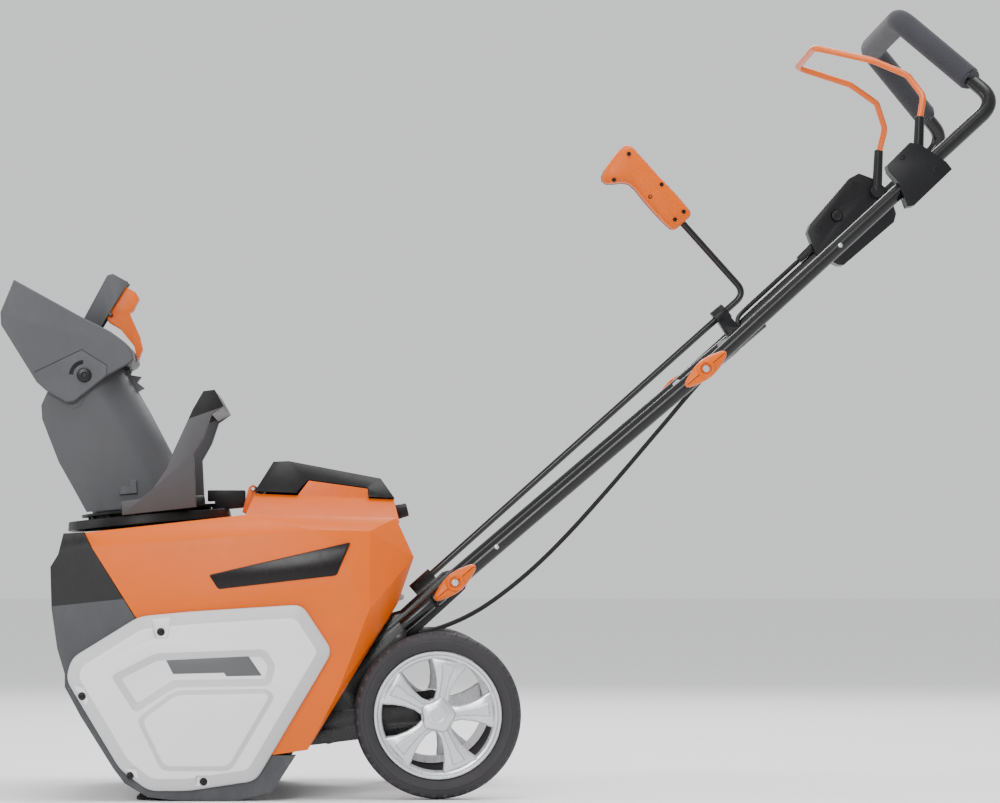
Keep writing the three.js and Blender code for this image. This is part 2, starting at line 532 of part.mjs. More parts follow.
// ---------------------------------------------------------------- wheels and frame
const WHEEL_MID = (WHEEL_IN + WHEEL_OUT) / 2
const HALF_TREAD = (WHEEL_OUT - WHEEL_IN) / 2
const RIM_RADIUS = 77
for (const [name, side] of SIDES) {
  const mid = side * WHEEL_MID
  add(`${name}_tyre`, turned(AXLE, [
    [RIM_RADIUS, mid - 15], [87, mid - HALF_TREAD], [96, mid - 17], [WHEEL_RADIUS, mid - 7],
    [WHEEL_RADIUS, mid + 7], [96, mid + 17], [87, mid + HALF_TREAD], [RIM_RADIUS, mid + 15], [RIM_RADIUS, mid - 15],
  ], 28), RUBBER)
  const band = ring(AXLE, 66, RIM_RADIUS - GAP, mid - 17, mid + 17, 28)
  const web = ring(AXLE, 9, 67, mid + side * 9 - 4, mid + side * 9 + 4, 28)
  const windows = Array.from({ length: 5 }, (_, i) => {
    const angle = THREE.MathUtils.degToRad(78 + 36 + 72 * i)
    const along = ([r, t]) => [
      AXLE[0] + r * Math.cos(angle) - t * Math.sin(angle), AXLE[1] + r * Math.sin(angle) + t * Math.cos(angle)]
    return slab([[27, -6], [48, -19], [60, -25], [65, 0], [60, 25], [48, 19], [27, 6]].map(along),
      mid - 30, mid + 30)
  })
  const hub = ring(AXLE, 8, 20, mid - 18, mid + 18, 14)
  const cap = sidePin(AXLE, side, WHEEL_MID + 15, WHEEL_MID + 21, 21, 14)
  const axleHole = sidePin(AXLE, side, WHEEL_MID - 30, WHEEL_MID + 17, 8.5)
  add(`${name}_rim`, cut(join(band, cut(web, ...windows), hub, cap), axleHole), SILVER)
}
add('axle', pin(AXLE, -WHEEL_MID - 16, WHEEL_MID + 16, 8), STEEL)

const PLATE = [180, 186]
const STRUT_FOOT = [-182, 131.7]
const STRUT_BOLT = [-110.5, 201.7]
for (const [name, side] of SIDES) {
  const [near, far] = side < 0 ? [-PLATE[1], -PLATE[0]] : PLATE
  const plate = join(
    link(STRUT_FOOT, STRUT_BOLT, 20, near, far), link(STRUT_BOLT, KNOB_LOW, 15, near, far),
    link([-200, 84], STRUT_FOOT, 20, near, far), link([-252, 78], AXLE, 19, near, far))
  const tip = (t) => v3(KNOB_LOW[0] - t * 0.7615, side * LOWER_Y, KNOB_LOW[1] - t * 0.6486)
  const stub = join(bar(tip(82), tip(37), TUBE - 1, 16), sidePin([tip(66).x, tip(66).z], side, PLATE[1] - 1, LOWER_Y, 6, 12))
  const bolts = [STRUT_FOOT, [-113, 190]].map((at) => sidePin(at, side, PLATE[1] - 1, PLATE[1] + 6, 7, 6))
  add(`${name}_bracket`, cut(join(plate, stub, ...bolts),
    sidePin(AXLE, side, 170, 200, 8.5), sidePin(KNOB_LOW, side, 170, 200, 4.5), sidePin([-200, 84], side, 170, 185, 9.4),
    sidePin(AUGER, side, 170, 200, SCROLL_RADIUS + SCROLL_WALL + GAP, 64)), BLACK)
}
add('rear_cross_beam', pin([-200, 84], -PLATE[0] - 4, PLATE[0] + 4, 9), BLACK)

// ---------------------------------------------------------------- lower handle and control rod
const LOWER_DIR = [0.7615, 0.6486]
const onLower = (t, y, up = 0) =>
  v3(KNOB_LOW[0] + t * LOWER_DIR[0] - up * LOWER_DIR[1], y, KNOB_LOW[1] + t * LOWER_DIR[1] + up * LOWER_DIR[0])
const SPAN = Math.hypot(KNOB_HIGH[0] - KNOB_LOW[0], KNOB_HIGH[1] - KNOB_LOW[1])
const CROSS_AT = SPAN + 78
const EYE = v3(291, 0, 594.4)
const rodDir = v3(ROD_BEND[0] - ROD_LOW[0], 0, ROD_BEND[1] - ROD_LOW[1]).normalize()
const onRod = (t) => v3(ROD_LOW[0], 0, ROD_LOW[1]).addScaledVector(rodDir, t)
const EYE_AT = EYE.clone().sub(v3(ROD_LOW[0], 0, ROD_LOW[1])).dot(rodDir)
const sideTubes = SIDES.map(([, side]) => cut(
  bar(onLower(-33, side * LOWER_Y), onLower(SPAN + 92, side * LOWER_Y), TUBE, 12),
  sidePin(KNOB_LOW, side, 150, 260, 4.5, 10), sidePin(KNOB_HIGH, side, 150, 260, 4.5, 10)))
add('lower_handle', join(...sideTubes, bar(onLower(CROSS_AT, -LOWER_Y), onLower(CROSS_AT, LOWER_Y), 8, 16)), GLOSS_BLACK)
const saddle = onLower(CROSS_AT, 0)
const guideBody = join(
  bar(v3(saddle.x, -11, saddle.z), v3(saddle.x, 11, saddle.z), 13, 20),
  hull([...pair(9, [[saddle.x - 13, saddle.z + 3], [saddle.x + 3, saddle.z + 13]]), ...pair(9, [[EYE.x - 8, EYE.z - 3], [EYE.x + 7, EYE.z + 3]])]),
  bar(onRod(EYE_AT - 9), onRod(EYE_AT + 9), 11, 20))
add('rod_guide', cut(guideBody, bar(v3(saddle.x, -20, saddle.z), v3(saddle.x, 20, saddle.z), 8.4, 20),
  bar(onRod(EYE_AT - 30), onRod(EYE_AT + 30), 5, 16)), BLACK)

const ARM_DIR = v3(-rodDir.z, 0, rodDir.x)
const bend = v3(ROD_BEND[0], 0, ROD_BEND[1])
const onArm = (t, y = 0, along = 0) => bend.clone().addScaledVector(ARM_DIR, t).addScaledVector(rodDir, along).add(v3(0, y, 0))
add('control_rod', tube(new BentPath([onRod(20), bend, onArm(150)], 14), 4.2, 12), GLOSS_BLACK)
const gripRow = (t, back, front, half) => [[back, half], [front, half]].flatMap(([along, y]) => [onArm(t, y, along), onArm(t, -y, along)])
const lever = [
  hull([...gripRow(118, -14, 14, 10), ...gripRow(122, -17, 17, 14), ...gripRow(165, -19, 18, 17)]),
  hull([...gripRow(163, -18.9, 17.9, 16.9), ...gripRow(205, -17, 17, 17)]),
  hull([...gripRow(202, -19, 17, 16.8), ...gripRow(232, -38, 17, 17), ...gripRow(236, -20, 17, 16), ...gripRow(222, -42, 0, 16),
    ...gripRow(240, 0, 10, 12)]),
]
add('control_lever_grip', cut(join(...lever), bar(onArm(100), onArm(150.6), 4.7, 16)), ORANGE)
add('rod_joint_sleeve', join(cut(bar(onRod(2), onRod(34), 8, 20), bar(onRod(19.5), onRod(50), 4.7, 16)),
  pin([onRod(9).x, onRod(9).z], -13, 13, 4, 12)), BLACK)

// ---------------------------------------------------------------- upper handle, foam grip and boxes
const UPPER_END = v3(607, 0, 840)
const upperDir = UPPER_END.clone().sub(v3(KNOB_HIGH[0], 0, KNOB_HIGH[1])).normalize()
const onUpper = (t, y = 0, up = 0) => v3(
  KNOB_HIGH[0] + t * upperDir.x - up * upperDir.z, y, KNOB_HIGH[1] + t * upperDir.z + up * upperDir.x)
const TOP = { x: 500, y: 140, z: 949 }
const GRIP_FROM = 0.27               // where the foam starts between the outer bend and the top corner
const corner = (side) => v3(UPPER_END.x, side * UPPER_Y, UPPER_END.z)
const topCorner = (side) => v3(TOP.x, side * TOP.y, TOP.z)
const handlePath = new BentPath([
  onUpper(-16, -UPPER_Y), corner(-1), topCorner(-1), topCorner(1), corner(1), onUpper(-16, UPPER_Y),
], 26)
add('upper_handle', cut(tube(handlePath, TUBE - 0.3, 10),
  ...SIDES.map(([, side]) => sidePin(KNOB_HIGH, side, 190, 260, 4.5, 10))), GLOSS_BLACK)
const gripEnd = (side) => corner(side).lerp(topCorner(side), GRIP_FROM)
const gripPath = new BentPath([gripEnd(-1), topCorner(-1), topCorner(1), gripEnd(1)], 26)
const overrun = (side) => corner(side).lerp(topCorner(side), GRIP_FROM - 0.05)
add('foam_grip', cut(tube(gripPath, 15, 10),
  tube(new BentPath([overrun(-1), topCorner(-1), topCorner(1), overrun(1)], 26), TUBE + 0.4, 10)), FOAM)

const BOX_NEAR = 203
const BOX_FAR = 235
const tubeBore = (side) => bar(onUpper(150, side * UPPER_Y), onUpper(460, side * UPPER_Y), TUBE + 0.4, 20)
const SWITCH_BOX = [
  [491, 794], [478, 787], [427, 727], [423.5, 717], [434, 688], [464, 673.6], [471, 673.6], [537, 730], [540, 741],
  [531, 770], [515, 785],
]
const BUTTON = [462, 738]
add('switch_box', cut(slab(SWITCH_BOX, BOX_NEAR, BOX_FAR), tubeBore(1), pin(BAIL_PIVOT, BOX_NEAR - 5, BOX_NEAR + 12, 4.5, 16),
  pin(BUTTON, BOX_NEAR - 5, BOX_NEAR + 8, 7.6, 20)), BLACK)
const PIVOT_BOX = [[499, 788], [472, 761], [474, 753], [486, 739], [496, 710.5], [504, 712], [550, 756], [543, 765], [511, 786.5]]
add('pivot_box', cut(slab(PIVOT_BOX, -BOX_FAR, -BOX_NEAR), tubeBore(-1),
  pin(BAIL_PIVOT, -BOX_NEAR - 12, -BOX_NEAR + 5, 4.5, 16)), BLACK)
add('lockout_button', pin(BUTTON, BOX_NEAR - 5, BOX_NEAR + 3, 7, 20), ORANGE)

// Bail: an orange rod bent into a loop, with a black sleeve on each foot.
const bailSide = (side) => [
  v3(516, side * BAIL_Y, 818), v3(523, side * (BAIL_Y - 14), 850), v3(508, side * 150, 880), v3(470, side * 122, 901),
  v3(399, side * 100, 920),
]
const bailCorners = [...bailSide(-1), ...bailSide(1).reverse()]
const bailFeet = SIDES.map(([, side]) => join(
  bar(v3(BAIL_PIVOT[0], side * BAIL_Y, BAIL_PIVOT[1]), v3(516.4, side * (BAIL_Y - 1), 824), 6, 8, 5.6),
  sidePin(BAIL_PIVOT, side, BAIL_Y - 6, BAIL_Y + 5.4, 8.5, 12), sidePin(BAIL_PIVOT, side, BAIL_Y, BOX_NEAR + 10, 4, 8)))
add('bail', join(tube(new BentPath(bailCorners, 14, 2), 4, 8), ...bailFeet), ORANGE)

// ---------------------------------------------------------------- wing knobs
const WING = [[0, -12], [30, -5], [33, 0], [30, 5], [0, 12], [-30, 5], [-33, 0], [-30, -5]]
// The knob and its clamp bolt turn together; the bolt runs through both clamped pieces.
function wingKnob(name, at, side, near, boltFrom) {
  const [c, s] = LOWER_DIR
  const wing = WING.map(([u, w]) => [at[0] + u * c - w * s, at[1] + u * s + w * c])
  const body = join(sideSlab(wing, side, near + 4, near + 15), sidePin(at, side, near + GAP, near + 18, 11, 16))
  const bolt = join(sidePin(at, side, boltFrom, near + 2, 4, 10), sidePin(at, side, boltFrom - 5, boltFrom, 8, 6))
  add(name, join(cut(body, sidePin(at, side, near + 14, near + 30, 6, 10)), bolt), ORANGE)
}
for (const [name, side] of SIDES) {
  wingKnob(`${name}_lower_knob`, KNOB_LOW, side, LOWER_Y + TUBE, PLATE[0] - 0.5)
  wingKnob(`${name}_upper_knob`, KNOB_HIGH, side, UPPER_Y + TUBE, LOWER_Y - TUBE - 0.5)
}

// ---------------------------------------------------------------- cable
const cable = (points) => tube(new THREE.CatmullRomCurve3(points.map(([x, y, z]) => v3(x, y, z))), 3, 8, 22)
const CABLE_UPPER = [
  [231, UPPER_Y, 13.5], [200, UPPER_Y, 13.5], [165, UPPER_Y, 13.5], [135, UPPER_Y, 13.5], [122, 214, 12.5], [114, 206, 7],
  [108, 202, -6], [100, 200, -15], [88, LOWER_Y, -17.5], [60, LOWER_Y, -16], [42, LOWER_Y, -15],
].map(([t, y, up]) => onUpper(t, y, up).toArray())
const CABLE_LOWER = [
  [290.5, 199.5, 530.5], [262, 198, 498], [240, 193, 472], [215, 186, 443], [185, 180, 408], [150, 174, 368], [110, 168, 324],
  [70, 162, 284], [30, 156, 250], [-10, 152, 222], [-50, 148, 203], [-90, 144, 192], [-130, 140, 188], [-164, 136, 188],
  [-171.4, 135, 188],
]
add('cable_upper', cable(CABLE_UPPER), BLACK)
add('cable_lower', cable(CABLE_LOWER), BLACK)
add('cable_strain_relief', cut(bar(onUpper(262, UPPER_Y, 13.5), onUpper(231.5, UPPER_Y, 13.5), 7, 14, 5),
  tubeBore(1), slab(grow(SWITCH_BOX, [480, 735], 1.006), BOX_NEAR - 2, BOX_FAR + 2)), BLACK)

export default snowblower
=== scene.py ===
import bpy
import bmesh
import json
import math
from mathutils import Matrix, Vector


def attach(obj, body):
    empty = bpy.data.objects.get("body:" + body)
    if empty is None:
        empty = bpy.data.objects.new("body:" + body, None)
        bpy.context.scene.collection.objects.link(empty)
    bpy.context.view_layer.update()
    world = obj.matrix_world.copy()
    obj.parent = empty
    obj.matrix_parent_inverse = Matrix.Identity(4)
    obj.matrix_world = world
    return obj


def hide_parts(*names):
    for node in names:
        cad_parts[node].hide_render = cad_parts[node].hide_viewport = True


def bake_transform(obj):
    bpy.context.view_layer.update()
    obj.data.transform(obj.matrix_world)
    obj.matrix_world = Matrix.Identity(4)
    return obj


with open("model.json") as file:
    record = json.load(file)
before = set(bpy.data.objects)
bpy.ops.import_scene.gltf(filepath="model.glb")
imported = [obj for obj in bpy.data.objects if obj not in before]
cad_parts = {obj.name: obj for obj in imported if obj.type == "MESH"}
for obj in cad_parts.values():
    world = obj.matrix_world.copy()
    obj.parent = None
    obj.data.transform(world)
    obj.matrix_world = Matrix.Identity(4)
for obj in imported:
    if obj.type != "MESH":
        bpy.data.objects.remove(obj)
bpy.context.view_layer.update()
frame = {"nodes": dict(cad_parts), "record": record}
record = frame["record"]
BODY = {node: body for body, nodes in record["behaviour"]["bodies"].items() for node in nodes}
SLOT = {part["node"]: part["material_slot"] for part in record["subparts"]}
MM = 0.001


# ---------------------------------------------------------------- camera, lights and floor
def aim(obj, target):
    obj.rotation_mode = "QUATERNION"
    obj.rotation_quaternion = (Vector(target) - obj.location).to_track_quat("-Z", "Y")


def area_light(name, place, target, size, power, tint=(1, 1, 1)):
    data = bpy.data.lights.new(name, "AREA")
    data.shape = "RECTANGLE"
    data.size, data.size_y = size
    data.energy = power
    data.color = tint
    lamp = bpy.data.objects.new(name, data)
    bpy.context.scene.collection.objects.link(lamp)
    lamp.location = place
    aim(lamp, target)
    return lamp


camera_data = bpy.data.cameras.new("camera")
camera_data.sensor_width = 36
camera_data.lens = 146.5
camera_data.clip_end = 100
camera = bpy.data.objects.new("camera", camera_data)
bpy.context.scene.collection.objects.link(camera)
camera.location = (-0.160, -5.100, 0.268)
aim(camera, (0.013, 0, 0.485))
bpy.context.scene.camera = camera

area_light("key", (-1.3, -4.4, 1.9), (-0.1, 0, 0.35), (1.6, 1.6), 110)
area_light("top", (0.2, -0.6, 3.4), (0, 0, 0.3), (2.4, 1.6), 90)
area_light("front_strip", (-3.4, -0.2, 1.3), (-0.3, 0, 0.3), (0.8, 2.2), 30)
area_light("back", (0.4, 3.2, 2.6), (0, 0, 0.4), (2.6, 1.6), 90)
world = bpy.data.worlds.new("studio")
world.use_nodes = True
world.node_tree.nodes["Background"].inputs["Color"].default_value = (0.93, 0.94, 0.95, 1)
world.node_tree.nodes["Background"].inputs["Strength"].default_value = 0.95
bpy.context.scene.world = world


# ---------------------------------------------------------------- materials
def node(tree, kind, **values):
    made = tree.nodes.new(kind)
    for key, value in values.items():
        if key in made.inputs:
            made.inputs[key].default_value = value
        else:
            setattr(made, key.lower(), value)
    return made


def noise(tree, coords, scale, detail=4.0, roughness=0.55, stretch=(1, 1, 1)):
    mapping = tree.nodes.new("ShaderNodeMapping")
    mapping.inputs["Scale"].default_value = stretch
    tree.links.new(coords, mapping.inputs["Vector"])
    made = node(tree, "ShaderNodeTexNoise", Scale=scale, Detail=detail, Roughness=roughness)
    tree.links.new(mapping.outputs["Vector"], made.inputs["Vector"])
    return made.outputs["Fac"]


def remap(tree, value, low, high, to_low, to_high):
    made = tree.nodes.new("ShaderNodeMapRange")
    made.inputs["From Min"].default_value = low
    made.inputs["From Max"].default_value = high
    made.inputs["To Min"].default_value = to_low
    made.inputs["To Max"].default_value = to_high
    tree.links.new(value, made.inputs["Value"])
    return made.outputs["Result"]


def blend_colour(tree, factor, first, second):
    made = tree.nodes.new("ShaderNodeMix")
    made.data_type = "RGBA"
    tree.links.new(factor, made.inputs[0])
    for socket, value in ((made.inputs[6], first), (made.inputs[7], second)):
        if hasattr(value, "is_output"):
            tree.links.new(value, socket)
        else:
            socket.default_value = (*value, 1)
    return made.outputs[2]


def surface(name, colour, rough, grain=1400.0, bump=0.12, depth=0.0003, cloud=0.07, wear=None, metal=0.0,
            coat=0.0, round_edges=0.0012, pores=None, sheen=0.0, wear_amount=0.35, rough_swing=0.07,
            shine=0.5):
    """A moulded, painted, cast or foamed surface: cloudy colour, uneven polish, fine grain, worn edges."""
    made = bpy.data.materials.new(name)
    made.use_nodes = True
    tree = made.node_tree
    shader = tree.nodes["Principled BSDF"]
    coords = tree.nodes.new("ShaderNodeTexCoord").outputs["Object"]
    broad = noise(tree, coords, 9.0, 3.0)
    fine = noise(tree, coords, grain, 2.0, 0.6)
    streak = noise(tree, coords, 60.0, 5.0, 0.7, (1.0, 1.0, 0.25))
    darker = tuple(c * (1 - cloud) for c in colour)
    lighter = tuple(min(1.0, c * (1 + cloud)) for c in colour)
    tone = blend_colour(tree, remap(tree, broad, 0.3, 0.7, 0, 1), darker, lighter)
    if wear:
        edge = node(tree, "ShaderNodeNewGeometry").outputs["Pointiness"]
        sharp = remap(tree, edge, 0.53, 0.62, 0, wear_amount)
        patchy = node(tree, "ShaderNodeMath", operation="MULTIPLY")
        tree.links.new(sharp, patchy.inputs[0])
        tree.links.new(remap(tree, streak, 0.4, 0.65, 0, 1), patchy.inputs[1])
        tone = blend_colour(tree, patchy.outputs[0], tone, wear)
    tree.links.new(tone, shader.inputs["Base Color"])
    polish = node(tree, "ShaderNodeMath", operation="ADD")
    tree.links.new(remap(tree, streak, 0.25, 0.75, rough - rough_swing, rough + rough_swing),
                   polish.inputs[0])
    tree.links.new(remap(tree, fine, 0.3, 0.7, -0.03, 0.03), polish.inputs[1])
    tree.links.new(polish.outputs[0], shader.inputs["Roughness"])
    shader.inputs["Metallic"].default_value = metal
    shader.inputs["Specular IOR Level"].default_value = shine
    shader.inputs["Coat Weight"].default_value = coat
    shader.inputs["Coat Roughness"].default_value = 0.12
    shader.inputs["Sheen Weight"].default_value = sheen
    height = fine
    if pores:
        cells = node(tree, "ShaderNodeTexVoronoi", Scale=pores)
        tree.links.new(coords, cells.inputs["Vector"])
        height = cells.outputs["Distance"]
    relief = node(tree, "ShaderNodeBump", Strength=bump, Distance=depth)
    tree.links.new(height, relief.inputs["Height"])
    if round_edges:
        soft = node(tree, "ShaderNodeBevel", Radius=round_edges)
        soft.samples = 4
        tree.links.new(soft.outputs["Normal"], relief.inputs["Normal"])
    tree.links.new(relief.outputs["Normal"], shader.inputs["Normal"])
    return made


MAT = {
    "orange_plastic": surface("orange_plastic", (0.67, 0.108, 0.0), 0.38, 1900, 0.06, cloud=0.03,
                              wear=(0.8, 0.2, 0.02), shine=0.22, wear_amount=0.25),
    "orange_rod": surface("orange_rod", (0.69, 0.11, 0.0), 0.3, 900, 0.06, cloud=0.04, wear=(0.6, 0.25, 0.1),
                          shine=0.4),
    "grey_plastic": surface("grey_plastic", (0.06, 0.062, 0.067), 0.5, 1300, 0.25, cloud=0.08,
                            wear=(0.14, 0.14, 0.145),
                            shine=0.3),
    "dark_plastic": surface("dark_plastic", (0.0085, 0.0085, 0.009), 0.42, 1300, 0.22, cloud=0.15,
                            wear=(0.05, 0.05, 0.052), shine=0.16),
    "black_plastic": surface("black_plastic", (0.009, 0.009, 0.01), 0.36, 1500, 0.2, cloud=0.15,
                             wear=(0.05, 0.05, 0.052),
                             shine=0.2),
    "white_plastic": surface("white_plastic", (0.74, 0.73, 0.735), 0.4, 1700, 0.08, cloud=0.02,
                             wear=(0.8, 0.8, 0.8),
                             wear_amount=0.3),
    "silver_plastic": surface("silver_plastic", (0.6, 0.61, 0.63), 0.28, 2200, 0.08, cloud=0.05, metal=0.6,
                              wear=(0.4, 0.4, 0.42)),
    "steel": surface("steel", (0.56, 0.57, 0.59), 0.3, 1600, 0.1, cloud=0.08, metal=1.0,
                     wear=(0.35, 0.34, 0.33)),
    "motor_black": surface("motor_black", (0.012, 0.012, 0.014), 0.42, 1000, 0.25, metal=0.3,
                           wear=(0.2, 0.2, 0.2),
                           shine=0.25),
    "black_paint": surface("black_paint", (0.004, 0.004, 0.0045), 0.27, 260, 0.008, 0.0001, cloud=0.2,
                           round_edges=0.0, shine=0.4, rough_swing=0.04),
    "rubber": surface("rubber", (0.014, 0.0135, 0.0135), 0.72, 700, 0.3, cloud=0.15, wear=(0.05, 0.05, 0.048),
                      shine=0.3),
    "tyre": surface("tyre", (0.026, 0.024, 0.027), 0.66, 650, 0.3, cloud=0.12, wear=(0.07, 0.066, 0.064),
                    shine=0.35),
    "foam": surface("foam", (0.036, 0.036, 0.042), 0.93, 900, 0.7, 0.0006, cloud=0.12, pores=620.0,
                    sheen=0.12,
                    round_edges=0.0, shine=0.2),
}
TWEAK = {
    # lighter grey for the housing's sides below the crease: painted reflection of the bright floor on the black
    # plastic
    "housing_side_painted_reflection": surface("housing_side_painted_reflection", (0.047, 0.049, 0.053), 0.46, 1300, 0.25, cloud=0.08,
                            wear=(0.11, 0.11, 0.115),
                            shine=0.28),
    # darker grey for the cover's rim and recess slopes: painted shade on the faces turned away from the light
    "cover_slope_painted_shade": surface("cover_slope_painted_shade", (0.5, 0.5, 0.505), 0.42, 1700, 0.08, cloud=0.03),
    "label_black": surface("label_black", (0.008, 0.006, 0.006), 0.25, 2600, 0.03, cloud=0.1, round_edges=0.0,
                           shine=0.2),
    "label_grey": surface("label_grey", (0.085, 0.088, 0.092), 0.35, 2600, 0.04, cloud=0.05, round_edges=0.0,
                          shine=0.3),
    "screw_black": surface("screw_black", (0.008, 0.008, 0.009), 0.3, 2000, 0.1, metal=0.2,
                           round_edges=0.0004, shine=0.3),
}

# ---------------------------------------------------------------- floor
floor_mesh = bpy.data.meshes.new("floor")
floor_mesh.from_pydata([(-40, -40, 0), (40, -40, 0), (40, 40, 0), (-40, 40, 0)], [], [(0, 1, 2, 3)])
floor = bpy.data.objects.new("floor", floor_mesh)
bpy.context.scene.collection.objects.link(floor)
floor.location.z = -0.0005
floor_mesh.materials.append(surface("pale_floor", (0.9, 0.9, 0.9), 0.6, 300, 0.05, cloud=0.01,
                                    round_edges=0.0))


# ------------------------------------------------ mesh building, millimetres in and metres out
def place(name, mesh, body, slot, replaced=(), material=None, bevel=0.0, segments=2, smooth=35,
          bevel_angle=28):
    """Links a finished mesh to its body; sharp edges are rounded and shading is smooth up to an angle."""
    made = bpy.data.objects.new(name, mesh)
    bpy.context.scene.collection.objects.link(made)
    if bevel:
        rounding = made.modifiers.new("rounding", "BEVEL")
        rounding.width = bevel * MM
        rounding.segments = segments
        rounding.limit_method = "ANGLE"
        rounding.angle_limit = math.radians(bevel_angle)
        rounding.use_clamp_overlap = True
        graph = bpy.context.evaluated_depsgraph_get()
        rounded = bpy.data.meshes.new_from_object(made.evaluated_get(graph))
        made.modifiers.clear()
        made.data = rounded
    made.data.materials.clear()
    made.data.materials.append(material or MAT[slot])
    made.data.shade_smooth()
    made.data.set_sharp_from_angle(angle=math.radians(smooth))
    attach(made, body)
    if replaced:
        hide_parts(*replaced)
    return made


def mesh_of(name, points, faces):
    """A closed mesh from millimetre points, with its faces turned outwards."""
    mesh = bpy.data.meshes.new(name)
    mesh.from_pydata([Vector(p) * MM for p in points], [], faces)
    work = bmesh.new()
    work.from_mesh(mesh)
    bmesh.ops.remove_doubles(work, verts=work.verts, dist=1e-6)
    bmesh.ops.recalc_face_normals(work, faces=work.faces)
    work.to_mesh(mesh)
    work.free()
    return mesh


def joined(name, meshes):
    work = bmesh.new()
    for mesh in meshes:
        work.from_mesh(mesh)
    whole = bpy.data.meshes.new(name)
    work.to_mesh(whole)
    work.free()
    return whole


def stacked(loops, cap=True):
    """Points and faces of a skin over loops with the same number of points."""
    count = len(loops[0])
    points = [p for loop in loops for p in loop]
    faces = []
    for row in range(len(loops) - 1):
        for i in range(count):
            j = (i + 1) % count
            faces.append((row * count + i, row * count + j, (row + 1) * count + j, (row + 1) * count + i))
    if cap:
        faces.append(tuple(range(count)))
        faces.append(tuple((len(loops) - 1) * count + i for i in range(count)))
    return points, faces


def prism(name, outline, y0, y1):
    """An XZ outline carried from y0 to y1."""
    points, faces = stacked([[(x, y, z) for x, z in outline] for y in (y0, y1)])
    return mesh_of(name, points, faces)


def drafted(name, rows):
    """Loops of XZ outlines at given half-widths: rows of (outline, y)."""
    points, faces = stacked([[(x, y, z) for x, z in outline] for outline, y in rows])
    return mesh_of(name, points, faces)


def lathe(name, centre, axis, profile, sides=48, cap=True):
    """Turns (radius, height) pairs round an axis through a point."""
    axis = Vector(axis).normalized()
    side = axis.orthogonal().normalized()
    across = axis.cross(side)
    loops = []
    for radius, height in profile:
        loops.append([
            Vector(centre) + axis * height + (side * math.cos(a) + across * math.sin(a)) * radius
            for a in (2 * math.pi * i / sides for i in range(sides))])
    points, faces = stacked(loops, cap)
    return mesh_of(name, points, faces)


def rod(name, a, b, radius, sides=24, lip=0.6):
    a, b = Vector(a), Vector(b)
    length = (b - a).length
    return lathe(name, a, b - a, [(radius - lip, 0), (radius, lip), (radius, length - lip),
                                  (radius - lip, length)], sides)


def bent(corners, radius, per_bend=10):
    """A line through corners, each rounded with the given radius of run-in."""
    corners = [Vector(c) for c in corners]
    line = [corners[0]]
    for i in range(1, len(corners) - 1):
        back = (corners[i - 1] - corners[i]).normalized()
        ahead = (corners[i + 1] - corners[i]).normalized()
        half = back.angle(ahead) / 2
        run = min(radius / math.tan(half), (corners[i - 1] - corners[i]).length * 0.49,
                  (corners[i + 1] - corners[i]).length * 0.49)
        enter, leave = corners[i] + back * run, corners[i] + ahead * run
        for k in range(per_bend + 1):
            t = k / per_bend
            line.append(enter * (1 - t) ** 2 + corners[i] * 2 * t * (1 - t) + leave * t * t)
    line.append(corners[-1])
    return line


def curved(points, per_span=6):
    """A Catmull-Rom line through points."""
    points = [Vector(p) for p in points]
    padded = [points[0] * 2 - points[1], *points, points[-1] * 2 - points[-2]]
    line = []
    for i in range(1, len(padded) - 2):
        p0, p1, p2, p3 = padded[i - 1:i + 3]
        for k in range(per_span):
            t = k / per_span
            line.append(0.5 * ((2 * p1) + (p2 - p0) * t + (2 * p0 - 5 * p1 + 4 * p2 - p3) * t * t
                               + (3 * p1 - p0 - 3 * p2 + p3) * t ** 3))
    line.append(points[-1])
    return line


def sweep(name, line, radius, sides=20, radii=None, lip=1.0):
    """A round tube along a line, its ends slightly rounded over."""
    line = [Vector(p) for p in line]
    start = (line[1] - line[0]).normalized()
    end = (line[-1] - line[-2]).normalized()
    side = start.orthogonal().normalized()
    loops = []
    radii = radii or [radius] * len(line)
    for i, p in enumerate(line):
        ahead = line[min(i + 1, len(line) - 1)] - line[max(i - 1, 0)]
        ahead.normalize()
        side = (side - ahead * side.dot(ahead)).normalized()
        across = ahead.cross(side)
        ring = [(side * math.cos(a) + across * math.sin(a))
                for a in (2 * math.pi * k / sides for k in range(sides))]
        if i == 0:
            loops.append([p + d * (radii[i] - lip) for d in ring])
            loops.append([p + start * lip + d * radii[i] for d in ring])
        elif i == len(line) - 1:
            loops.append([p - end * lip + d * radii[i] for d in ring])
            loops.append([p + d * (radii[i] - lip) for d in ring])
        else:
            loops.append([p + d * radii[i] for d in ring])
    points, faces = stacked(loops)
    return mesh_of(name, points, faces)


def copied(node_name, dissolve=1.0):
    """A copy of a CAD node's mesh with flat regions merged."""
    work = bmesh.new()
    work.from_mesh(frame["nodes"][node_name].data)
    bmesh.ops.remove_doubles(work, verts=work.verts, dist=1e-5)
    bmesh.ops.dissolve_limit(work, angle_limit=math.radians(dissolve), verts=work.verts, edges=work.edges)
    bmesh.ops.recalc_face_normals(work, faces=work.faces)
    made = bpy.data.meshes.new(node_name + "_copy")
    work.to_mesh(made)
    work.free()
    return made


def refined(node_name, bevel=0.0, smooth=40, material=None, segments=2, dissolve=1.0, bevel_angle=28):
    """The CAD node's own shape with rounded edges and smooth round parts."""
    return place(node_name + "_look", copied(node_name, dissolve), BODY[node_name], SLOT[node_name],
                 [node_name],
                 material, bevel, segments, smooth, bevel_angle)


